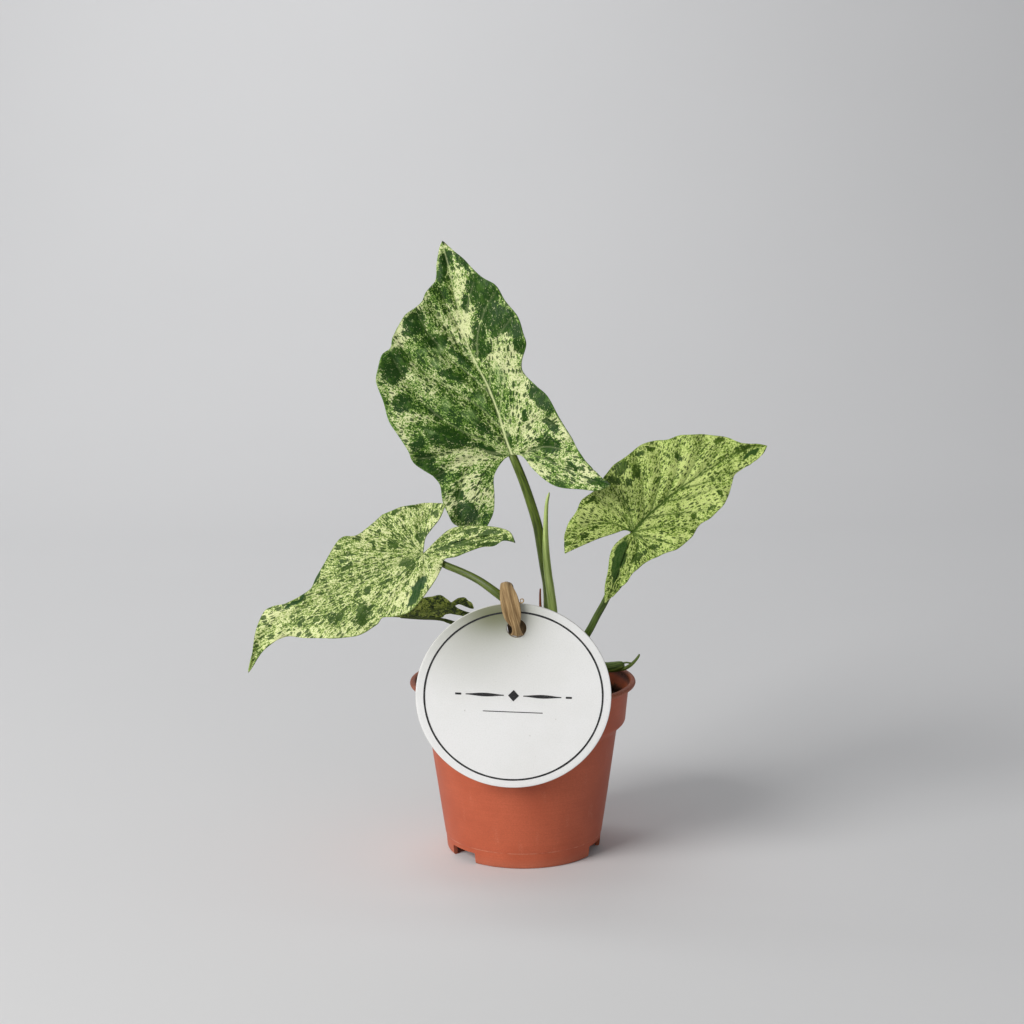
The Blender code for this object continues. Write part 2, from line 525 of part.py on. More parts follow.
def main():
    clear_scene()
    collection("arrowhead_plant")
    collection("cutters")
    add_home()
    leaf_mid = material("leaf_variegated", (0.20, 0.32, 0.12), 0.45)
    leaf_pale = material("leaf_pale", (0.42, 0.52, 0.20), 0.45)
    leaf_dark = material("leaf_dark", (0.07, 0.13, 0.03), 0.5)
    stalk_green = material("stalk_green", (0.22, 0.27, 0.07), 0.5)
    shoot_green = material("shoot_green", (0.40, 0.50, 0.16), 0.5)
    raffia = material("raffia", (0.52, 0.33, 0.15), 0.8)
    build_pot()
    build_soil()
    build_crown()
    blade("tall_leaf_blade", TALL_LEAF, BLADE_THICKNESS, leaf_mid)
    stalk("tall_leaf_stalk", TALL_STALK, stalk_green)
    blade("left_leaf_blade", LEFT_LEAF, BLADE_THICKNESS, leaf_pale)
    stalk("left_leaf_stalk", LEFT_STALK, stalk_green)
    blade("right_leaf_blade", RIGHT_LEAF, BLADE_THICKNESS, leaf_pale)
    stalk("right_leaf_stalk", RIGHT_STALK, stalk_green)
    blade("small_leaf_blade", SMALL_LEAF, SMALL_BLADE_THICKNESS, leaf_dark, 9, 5, 3, 2)
    stalk("small_leaf_stalk", SMALL_STALK, stalk_green, 2, 14)
    stalk("spear_leaf", SPEAR_LEAF, shoot_green, 2, 14)
    stalk("curled_shoot", CURLED_SHOOT, leaf_dark, 2, 16)
    build_dried_sheath()
    build_tag()
    tie("tag_tie", TIE_PATH, raffia, 3)


main()
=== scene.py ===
# %% [markdown]
# # An arrowhead plant in a small nursery pot
# This lesson dresses a plain solid model of a young variegated arrowhead plant. The solids give every
# place and size; the cells below lay fine surfaces, worked out with numpy, over them, and give each one
# a finish made of shader nodes. Lengths are written in millimetres, measured from the pot's own axis,
# and only turned into Blender's metres when a mesh is made.

# %% Load the solids
import math

import bmesh
import bpy
import numpy as np
from mathutils import Matrix, Vector


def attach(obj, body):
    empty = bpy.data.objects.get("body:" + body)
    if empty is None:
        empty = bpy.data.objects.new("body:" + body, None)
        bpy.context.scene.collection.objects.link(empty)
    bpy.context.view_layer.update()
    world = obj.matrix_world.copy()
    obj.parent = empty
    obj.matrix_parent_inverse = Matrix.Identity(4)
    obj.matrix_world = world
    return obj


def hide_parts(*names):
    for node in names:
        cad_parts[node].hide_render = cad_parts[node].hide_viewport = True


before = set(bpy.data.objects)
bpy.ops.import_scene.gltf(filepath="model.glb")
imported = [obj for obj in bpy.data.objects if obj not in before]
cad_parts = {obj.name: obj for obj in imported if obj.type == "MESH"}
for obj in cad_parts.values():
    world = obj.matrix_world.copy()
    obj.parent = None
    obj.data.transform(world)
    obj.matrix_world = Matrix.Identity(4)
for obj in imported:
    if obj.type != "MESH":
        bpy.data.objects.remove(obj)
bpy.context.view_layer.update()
MM = 0.001
# the pot's axis in the solids' frame, in millimetres
AXIS = np.array([3.17, 2.99, 0.0])
print("solids:", ", ".join(sorted(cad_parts)))

# %% [markdown]
# ## Small tools for surfaces
# Every piece here is a grid: rows run one way, columns the other, and a formula gives each corner its
# place. A smooth line through a few points (a cubic curve, where each stretch is also bent by the points
# before and after it) gives the outlines. Where two grids share an edge, their doubled corners are
# welded by comparing rounded places, which is quicker than asking Blender to search for them.

# %% Smooth lines, grids and welds


def unit(arrows):
    """The same directions at length 1."""
    return arrows / np.linalg.norm(arrows, axis=-1, keepdims=True)


def places(x, y, z):
    """Grid of places, from coordinates that are stretched to one shape."""
    return np.stack(np.broadcast_arrays(x, y, z), axis=-1)


def run_along(path):
    """Length walked along a line up to each of its points."""
    return np.concatenate([[0.0], np.cumsum(np.linalg.norm(np.diff(path[:, :3], axis=0), axis=1))])


def resampled(path, want):
    """The rows of a line at the wanted lengths along it."""
    run = run_along(path)
    return np.stack([np.interp(want, run, column) for column in path.T], axis=1)


def smooth_line(points, count):
    """Smooth curve through the points, whose slope at each is half the step between its two neighbours.

    It is worked out finely and then resampled to count + 1 points evenly along its length.
    """
    p = np.asarray(points, dtype=float)
    ends = np.vstack([2 * p[0] - p[1], p, 2 * p[-1] - p[-2]])
    t = np.linspace(0, 1, 24, endpoint=False)[None, :, None]
    q0, q1, q2, q3 = (ends[k:len(p) - 1 + k, None, :] for k in range(4))
    bent = 0.5 * (2 * q1 + (q2 - q0) * t + (2 * q0 - 5 * q1 + 4 * q2 - q3) * t ** 2
                  + (3 * q1 - q0 - 3 * q2 + q3) * t ** 3)
    dense = np.vstack([bent.reshape(-1, p.shape[1]), p[-1:]])
    return resampled(dense, np.linspace(0, run_along(dense)[-1], count + 1))


def grid_faces(rows, columns, around=False, ring=False):
    """Corner numbers of a grid's quads as two triangles each; around closes the columns, ring the rows."""
    i = np.arange(rows if ring else rows - 1)[:, None]
    j = np.arange(columns if around else columns - 1)[None, :]
    low, high = i * columns, (i + 1) % rows * columns
    near, far = j, (j + 1) % columns
    quad = np.stack([low + near, low + far, high + far, high + near], axis=-1).reshape(-1, 4)
    return np.vstack([quad[:, [0, 1, 2]], quad[:, [0, 2, 3]]])


def weld(points, faces, fields):
    """Join corners at the same rounded place and drop the triangles that lose a corner."""
    _, first, same = np.unique(np.round(points, 3), axis=0, return_index=True, return_inverse=True)
    faces = same.reshape(-1)[faces]
    whole = (faces[:, 0] != faces[:, 1]) & (faces[:, 1] != faces[:, 2]) & (faces[:, 0] != faces[:, 2])
    return points[first], faces[whole], {name: value[first] for name, value in fields.items()}


def new_object(name, points, faces, finish):
    """Smooth object in the scene, from corners in millimetres, with one finish."""
    mesh = bpy.data.meshes.new(name)
    mesh.from_pydata((points + AXIS) * MM, [], faces)
    mesh.shade_smooth()
    mesh.materials.append(finish)
    item = bpy.data.objects.new(name, mesh)
    bpy.context.scene.collection.objects.link(item)
    return item


def put_piece(name, points, faces, finish, replaces, fields=None, body="root"):
    """Weld a grid's corners, make the object with its fields as attributes, and hand it to the frame."""
    points = np.reshape(points, (-1, 3))
    fields = {field: np.reshape(value, (len(points), -1)) for field, value in (fields or {}).items()}
    points, faces, fields = weld(points, faces, fields)
    piece = new_object(name, points, faces, finish)
    for field, value in fields.items():
        kind, channel = ("FLOAT_VECTOR", "vector") if value.shape[1] == 3 else ("FLOAT", "value")
        data = piece.data.attributes.new(field, kind, "POINT").data
        data.foreach_set(channel, value.astype(np.float32).ravel())
    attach(piece, body)
    if replaces:
        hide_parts(*replaces)
    return piece


def thicken(piece, thickness):
    """Give a sheet its thickness in millimetres, half to each side, and close its edges."""
    wall = piece.modifiers.new("wall", "SOLIDIFY")
    wall.thickness = thickness * MM
    wall.offset = 0.0
    return piece


print("a 3 by 4 grid has", len(grid_faces(3, 4)), "triangles")

# %% [markdown]
# ## Writing shader nodes in short lines
# A finish is a small network of nodes. Here a node's output is wrapped in a class, so that a formula can
# be written as on paper: each sign between two outputs, or between an output and a number, adds the Math
# node that works it out. Put into an input, an output becomes a link, and anything else is typed in.

# %% Shader helpers


class Output:
    """A node's output; + - * / and ** with another output or with a number add Math nodes."""

    def __init__(self, node, name=0):
        self.socket = node.outputs[name]
        self.tree = node.id_data

    def __add__(self, other):
        return maths("ADD", self, other)

    def __radd__(self, other):
        return maths("ADD", other, self)

    def __sub__(self, other):
        return maths("SUBTRACT", self, other)

    def __rsub__(self, other):
        return maths("SUBTRACT", other, self)

    def __mul__(self, other):
        return maths("MULTIPLY", self, other)

    def __rmul__(self, other):
        return maths("MULTIPLY", other, self)

    def __truediv__(self, other):
        return maths("DIVIDE", self, other)

    def __pow__(self, other):
        return maths("POWER", self, other)

    def __rpow__(self, other):
        return maths("POWER", other, self)


def fill(node, inputs):
    """Fill a node's inputs with other nodes' outputs or with values."""
    for name, value in inputs.items():
        if isinstance(value, Output):
            node.id_data.links.new(value.socket, node.inputs[name])
        else:
            node.inputs[name].default_value = value
    return node


def add(tree, kind, inputs=None, **settings):
    """Add one node, set its properties and fill its inputs."""
    node = tree.nodes.new("ShaderNode" + kind)
    for name, value in settings.items():
        setattr(node, name, value)
    return fill(node, inputs or {})


def maths(operation, *numbers, clamp=False):
    """Output of a Math node."""
    tree = next(number.tree for number in numbers if isinstance(number, Output))
    return Output(add(tree, "Math", dict(enumerate(numbers)), operation=operation, use_clamp=clamp))


def vector_maths(operation, first, second, output="Vector"):
    """Output of a Vector Math node; what SCALE multiplies by is one number."""
    inputs = {0: first, "Scale" if operation == "SCALE" else 1: second}
    return Output(add(first.tree, "VectorMath", inputs, operation=operation), output)


def step_between(value, low, high, start=0.0, end=1.0):
    """Soft step from start to end as the value goes from low to high."""
    inputs = {0: value, 1: low, 2: high, 3: start, 4: end}
    return Output(add(value.tree, "MapRange", inputs, interpolation_type="SMOOTHSTEP"))


def slide(value, start, end):
    """Even change from start to end as the value goes from 0 to 1."""
    return Output(add(value.tree, "MapRange", {0: value, 3: start, 4: end}))


def blend_colours(share, first, second):
    """Colour between the first and the second, by share."""
    return Output(add(share.tree, "Mix", {0: share, 6: first, 7: second}, data_type="RGBA"), 2)


def layered(tint, *layers):
    """Colour under a pile of layers, each given as (share, colour)."""
    for share, colour in layers:
        tint = blend_colours(share, tint, colour)
    return tint


def noise(place, scale, detail, rough=0.5, stretch=None, output=0):
    """Noise over a place measured in millimetres: output 0 is one number, output 1 is three of them."""
    if stretch:
        place = Output(add(place.tree, "Mapping", {"Vector": place, "Scale": stretch}))
    inputs = {"Vector": place, "Scale": scale, "Detail": detail, "Roughness": rough}
    return Output(add(place.tree, "TexNoise", inputs), output)


def cells(place, scale, dimensions="3D"):
    """Cells round random middles: each cell's own chance, 0 to 1, and the distance from its middle."""
    node = add(place.tree, "TexVoronoi", {"Vector": place, "Scale": scale}, voronoi_dimensions=dimensions)
    return Output(add(place.tree, "SeparateColor", {0: Output(node, "Color")})), Output(node, "Distance")


def bumped(height, strength, distance):
    """Normal tilted by a height, as if the height were distance metres."""
    return Output(add(height.tree, "Bump", {"Height": height, "Strength": strength, "Distance": distance}))


def parts_of(place):
    """The three numbers of a place."""
    node = add(place.tree, "SeparateXYZ", {0: place})
    return [Output(node, k) for k in range(3)]


def carried_by(tree, field, kind="Fac"):
    """Field that the mesh carries, as one number (Fac) or as three (Vector)."""
    return Output(add(tree, "Attribute", attribute_name=field), kind)


def millimetres(tree):
    """Object coordinates in millimetres from the pot's axis."""
    place = Output(add(tree, "TexCoord"), "Object")
    inputs = {"Vector": place, "Scale": (1000, 1000, 1000), "Location": tuple(-AXIS)}
    return Output(add(tree, "Mapping", inputs))


def srgb(red, green, blue):
    """Linear colour of the three 0 to 255 numbers that a picture editor shows."""
    c = np.array([red, green, blue]) / 255.0
    linear = np.where(c <= 0.04045, c / 12.92, ((c + 0.055) / 1.055) ** 2.4)
    return (*[float(v) for v in linear], 1.0)


def new_finish(name):
    """Empty material with its Principled shader: (material, tree, shader)."""
    finish = bpy.data.materials.new(name)
    finish.use_nodes = True
    return finish, finish.node_tree, finish.node_tree.nodes["Principled BSDF"]


def outputs_of(node):
    """A node's outputs by their names."""
    return {socket.name: Output(node, k) for k, socket in enumerate(node.outputs)}


def new_group(name, takes, gives):
    """Node group with sockets of the given kinds: its tree, what it takes, and the node to fill at its end."""
    tree = bpy.data.node_groups.new(name, "ShaderNodeTree")
    for sockets, way in ((takes, "INPUT"), (gives, "OUTPUT")):
        for socket, kind in sockets.items():
            tree.interface.new_socket(socket, in_out=way, socket_type="NodeSocket" + kind)
    return tree, outputs_of(tree.nodes.new("NodeGroupInput")), tree.nodes.new("NodeGroupOutput")


def use_group(tree, group, inputs):
    """Place a node group with its own values and return its outputs by name."""
    node = tree.nodes.new("ShaderNodeGroup")
    node.node_tree = group
    return outputs_of(fill(node, inputs))


print("white in linear light:", srgb(255, 255, 255)[:3])

# %% [markdown]
# ## The camera
# A still-life photograph of a small plant is taken from a little above it. The camera looks down by
# seven and a half degrees and is rolled a touch, as a hand-set tripod is. Its three axes are worked out
# directly, which is steadier than aiming it at a target.

# %% Set up the camera
CAMERA_PLACE = np.array([-2.577, -416.5, 144.5])
PITCH = math.radians(7.455)
ROLL = math.radians(0.35)
ahead = np.array([0.0, math.cos(PITCH), -math.sin(PITCH)])
level_up = np.array([0.0, math.sin(PITCH), math.cos(PITCH)])
level_right = np.array([1.0, 0.0, 0.0])
right = math.cos(ROLL) * level_right - math.sin(ROLL) * level_up
up = math.sin(ROLL) * level_right + math.cos(ROLL) * level_up
camera_data = bpy.data.cameras.new("camera")
camera_data.lens = 56.25
camera_data.sensor_width = 36.0
camera_data.sensor_fit = "HORIZONTAL"
camera_data.clip_start = 0.01
camera = bpy.data.objects.new("camera", camera_data)
bpy.context.scene.collection.objects.link(camera)
turned = np.eye(4)
turned[:3] = np.stack([right, up, -ahead, (CAMERA_PLACE + AXIS) * MM], axis=1)
camera.matrix_world = Matrix(turned.tolist())
bpy.context.scene.camera = camera
print("camera at", [round(float(v), 4) for v in camera.matrix_world.translation])

# %% [markdown]
# ## Lights, floor and backdrop
# The plant stands on a seamless pale sweep: a floor that curves up into a wall far behind, so that no
# horizon shows. One large soft lamp at the front left gives the broad light and the faint shadow to the
# right, and a weak grey world fills the shadows, as white studio walls do.

# %% Floor sweep, lamps and world
WALL_AT, WALL_TOP, FRONT_EDGE = 1500.0, 2600.0, -1400.0
BEND = 900.0
HALF_WIDTH = 3000.0


def floor_sweep(rows=60, columns=9):
    """Floor line that runs back, turns up through a quarter circle of radius BEND, and rises as a wall."""
    flat = np.linspace(FRONT_EDGE, WALL_AT - BEND, rows)[:-1]
    turn = np.linspace(0, math.pi / 2, rows)
    tall = np.linspace(BEND, WALL_TOP, rows)[1:]
    y = np.concatenate([flat, WALL_AT - BEND + BEND * np.sin(turn), np.full(rows - 1, WALL_AT)])
    z = np.concatenate([np.zeros(rows - 1), BEND - BEND * np.cos(turn), tall])
    x = np.linspace(-HALF_WIDTH, HALF_WIDTH, columns)
    return places(x[None, :], y[:, None], z[:, None]).reshape(-1, 3), grid_faces(len(y), columns)


paper, tree, shader = new_finish("pale_paper")
tint = blend_colours(noise(millimetres(tree), 0.004, 3.0), srgb(222, 222, 223), srgb(226, 226, 227))
fill(shader, {"Base Color": tint, "Roughness": 0.8, "Specular IOR Level": 0.2})
floor = new_object("floor", *floor_sweep(), paper)


def lamp(name, place, target, size, power, colour=(1.0, 1.0, 1.0)):
    """Square area lamp in millimetres that faces its target."""
    data = bpy.data.lights.new(name, "AREA")
    data.shape = "SQUARE"
    data.size = size * MM
    data.energy = power
    data.color = colour
    light = bpy.data.objects.new(name, data)
    bpy.context.scene.collection.objects.link(light)
    aim = (Vector(target) - Vector(place)).to_track_quat("-Z", "Y").to_matrix().to_4x4()
    light.matrix_world = Matrix.Translation(Vector(place) * MM) @ aim
    return light


lamp("key", (-700, -580, 520), (0, 0, 60), 520, 9.3, (1.0, 0.99, 0.97))
lamp("fill", (300, -900, 380), (0, 0, 70), 700, 0.6, (0.97, 0.98, 1.0))
lamp("backdrop", (-350, 520, 1150), (0, 1500, 420), 900, 7.0)
world = bpy.data.worlds.new("studio")
world.use_nodes = True
fill(world.node_tree.nodes["Background"], {"Color": (0.95, 0.97, 1.0, 1.0), "Strength": 0.22})
bpy.context.scene.world = world
bpy.context.scene.view_settings.view_transform = "Standard"

# %% [markdown]
# ## The blades' outlines
# A leaf is easiest to draw flat. Each blade has its own two directions: a runs from the point where the
# stalk joins to the tip, b runs to the side. Half a blade is four lines: the midrib, the lobe's own vein,
# the inner edge of the lobe and the outer margin. A handful of points for each is enough, because the
# smooth line runs through them. The same numbers shape the solids, so that the fine blade lies on them.

# %% Outlines, veins and markings of the four blades
# blade outlines as seen from the front, in millimetres: each half has the sinus edge out to the lobe's
# end, the outer margin from there to the tip with the point that counts as its shoulder, and the lobe's
# own vein; turn is the direction of a, in degrees
# depth: lean and side are slopes along a and b; fold, arch and lobe_cup bend the blade, wave ripples its
# margin; groove, swell and ripple are the fine relief; vein_look is the midrib's width and the share of
# the side veins; each bump is a, b, its reach along both, and its rise towards the viewer
TALL_LEAF = {
    "junction": (-2.5, -2.0, 105.2), "turn": 107.8, "length": 58.0,
    "midrib": [(0, 0), (5, 0.2), (11, 0), (19, 0.5), (24.5, 1.5), (28.5, 2.8), (33.5, 3),
               (39, 1.8), (44.5, 1), (50, 0.5), (58, 0)],
    "plus": {
        "sinus": [(0, 0), (-0.5, 2.5), (-3.5, 6), (-8.5, 7.5), (-12, 9), (-15, 12)],
        "vein": [(0, 0), (0.5, 4), (-3.5, 10), (-9, 13), (-15, 12)],
        "margin": [(-15, 12), (-14, 15.5), (-12, 19), (-9, 20), (-5.5, 20.5), (-1.5, 20), (1.5, 21),
                   (6, 24.5), (10, 25), (15, 26.5), (19, 27.5), (24, 27.3), (29, 27.5), (32, 26),
                   (35, 24), (36, 21.5), (38.5, 20), (41, 17.5), (43, 15), (44.5, 10.5), (47, 8),
                   (49, 4.8), (53, 3.2), (56.5, 1.3), (58, 0)],
        "shoulder": 6},
    "minus": {
        "sinus": [(0, 0), (-1, -2.5), (-4.5, -4), (-8.2, -6.4), (-10.5, -9.2), (-12.1, -14),
                  (-13.3, -18.2), (-12.8, -21.4)],
        "vein": [(0, 0), (-0.5, -5.5), (-5.5, -11), (-9.9, -16.6), (-12.8, -21.4)],
        "margin": [(-12.8, -21.4), (-9, -19), (-4.5, -17), (0.5, -16), (6.5, -14.5), (12, -13.5),
                   (15.5, -11.5), (19.5, -9.5), (22.5, -10), (26, -12.3), (29, -12.5), (33.5, -12.5),
                   (38.5, -10.7), (43, -9.5), (46.5, -6.5), (51.5, -4), (55.5, -1.5), (58, 0)],
        "shoulder": 3},
    "lean": 0.20, "side": 0.265, "fold": 0.485, "arch": -4.0, "lobe_cup": 0.020,
    "wave": 0.8, "wave_count": 4.5,
    "groove": 0.55, "swell": 1.1, "ripple": 0.4, "vein_look": (1.0, 0.25),
    "bumps": [(54, -1.5, 4, 3, -0.9), (-14, 14, 4, 4, -1.0), (-12, -19, 5, 4, -0.7)],
}
LEFT_LEAF = {
    "junction": (-24.9, -21.0, 82.3), "turn": -146.3, "length": 53.0,
    "midrib": [(0, 0), (6, -1), (11.5, -1.6), (22, -3), (33, -3.7), (42, -4.6), (48.5, -2.4), (53, 0)],
    "plus": {
        "sinus": [(0, 0), (-5, -1), (-9, -1.4), (-12.5, -0.2), (-17, 2.6), (-20, 5), (-21.5, 7),
                  (-21.3, 9.6)],
        "vein": [(0, 0), (-4, 1.2), (-10, 2.4), (-16, 4.8), (-20, 7), (-21.3, 9.6)],
        "margin": [(-21.3, 9.6), (-19, 8), (-16, 7.8), (-12.5, 6), (-7.5, 5), (-4, 4), (-2, 5.4),
                   (0.3, 6.6), (3.5, 7.8), (6.5, 8.7), (10.4, 9.3), (14, 8.2), (16.7, 7), (19, 7.7),
                   (24.5, 7), (30.6, 3.8), (36, 0.8), (40, -2), (44.5, -2.7), (48.5, -1.9), (51, -0.8),
                   (53, 0)],
        "shoulder": 6},
    "minus": {
        "sinus": [(0, 0), (-2.5, -2.8), (-5.5, -4), (-8.5, -5), (-11.5, -7)],
        "vein": [(0, 0), (-1.8, -3.8), (-6, -6.5), (-11.5, -7)],
        "margin": [(-11.5, -7), (-8, -9.5), (-2, -12.5), (3.5, -13.5), (8, -13), (11.5, -13),
                   (14.5, -14.6), (17.5, -14), (22, -11.8), (26, -9.9), (28.7, -8.4), (32.5, -8.5),
                   (36.5, -9), (39.5, -10), (42, -10), (46, -7.4), (50, -3), (53, 0)],
        "shoulder": 3},
    "lean": -0.10, "side": -0.46, "fold": 0.16, "arch": 3.0, "lobe_cup": 0.012,
    "wave": 0.8, "wave_count": 4.0,
    "groove": 0.4, "swell": 0.7, "ripple": 0.3, "vein_look": (1.0, 0.45),
    "bumps": [(-20, 8, 9, 6, -2.6), (7, 5.5, 5, 1.6, -0.8)],
}
RIGHT_LEAF = {
    "junction": (28.1, -14.0, 86.4), "turn": 31.7, "length": 40.6,
    "midrib": [(0, 0), (4, 1.1), (9.5, 1.9), (14, 2.4), (19.5, 2.8), (25, 2.3), (30, 1),
               (35.5, 0.5), (40.6, 0)],
    "plus": {
        "sinus": [(0, 0), (-1.5, 1.6), (-4, 2.4), (-8, 3.6), (-11.5, 4.4), (-17, 5.6)],
        "vein": [(0, 0), (-3.5, 4.6), (-9.5, 7.2), (-17, 5.6)],
        "margin": [(-17, 5.6), (-15, 9), (-12.3, 11), (-9, 12.5), (-6.8, 13.8), (-3.5, 14),
                   (-1, 14.4), (1.5, 15.6), (4.3, 16.5), (7.2, 16.8), (11, 17), (14.1, 17.1),
                   (17.6, 15.8), (20, 14.7), (23.6, 13.8), (27.5, 11.6), (31.2, 8.8), (33.7, 6.5),
                   (35.6, 4.1), (39, 1.5), (40.6, 0)],
        "shoulder": 7},
    "minus": {
        "sinus": [(0, 0), (-2.7, 0.4), (-5.6, 0.1), (-7.8, -1.2), (-10.3, -4), (-12.8, -6.5), (-15, -9.7)],
        "vein": [(0, 0), (-3, -2.2), (-7.2, -5), (-11, -7.8), (-15, -9.7)],
        "margin": [(-15, -9.7), (-11.5, -9.7), (-7.2, -8.6), (-4.3, -7.8), (0.4, -7.9), (4.6, -8.5),
                   (8.5, -9), (12, -8.6), (15.4, -7.4), (18.8, -7.2), (22.5, -6.4), (25.7, -4.9),
                   (27.8, -3.3), (29.6, -1.8), (32.3, -1.5), (35, -1.5), (38, -1.2), (40.6, 0)],
        "shoulder": 4},
    "lean": 0.20, "side": 0.335, "fold": 0.115, "arch": -3.0, "lobe_cup": 0.015,
    "wave": 0.7, "wave_count": 4.0,
    "groove": 0.6, "swell": 0.7, "ripple": 0.4, "vein_look": (0.95, 0.85),
    "bumps": [(38, 0.5, 4, 2, -0.6), (-13, -8, 5, 3, -0.8)],
}
SMALL_LEAF = {
    "junction": (-18.8, -9.0, 65.7), "turn": 186.9, "length": 18.3,
    "midrib": [(-1.3, -0.8), (2.6, -0.5), (6.5, -0.2), (13, -0.5), (18.3, -0.8)],
    "plus": {
        "sinus": [(-1.3, -0.8), (-2.1, -0.1), (-3.9, 0.7), (-5.6, 1.3)],
        "vein": [(-1.3, -0.8), (-1.4, 0.1), (-3.3, 0.95), (-5.6, 1.3)],
        "margin": [(-5.6, 1.3), (-4.3, 1.8), (-2.5, 1.3), (0, 0.7), (1.4, 0.8), (2.2, 1.3), (5.3, 1.1),
                   (9.2, 0.7), (14.4, 0), (18.3, -0.8)],
        "shoulder": 3},
    "minus": {
        "sinus": [(-1.3, -0.8), (-2.5, -1.0), (-4, -0.4), (-5.2, 0.1), (-6.1, 0.3)],
        "vein": [(-1.3, -0.8), (-2, -1.5), (-3.8, -1.3), (-5.3, -0.4), (-6.1, 0.3)],
        "margin": [(-6.1, 0.3), (-5.8, -0.8), (-4.9, -1.4), (-4.1, -2.2), (-2.6, -2.3), (-1.8, -2.1),
                   (-0.5, -1.5), (0.8, -2.5), (2.3, -3.4), (4.4, -3.3), (6.5, -3.3), (10.3, -2.7),
                   (14.3, -1.6), (18.3, -0.8)],
        "shoulder": 6},
    "lean": 0.0, "side": -1.3, "fold": 0.15, "arch": 0.0, "lobe_cup": 0.0,
    "wave": 0.0, "wave_count": 1.0,
    "groove": 0.15, "swell": 0.2, "ripple": 0.1, "vein_look": (1.0, 0.45),
    "bumps": [],
}

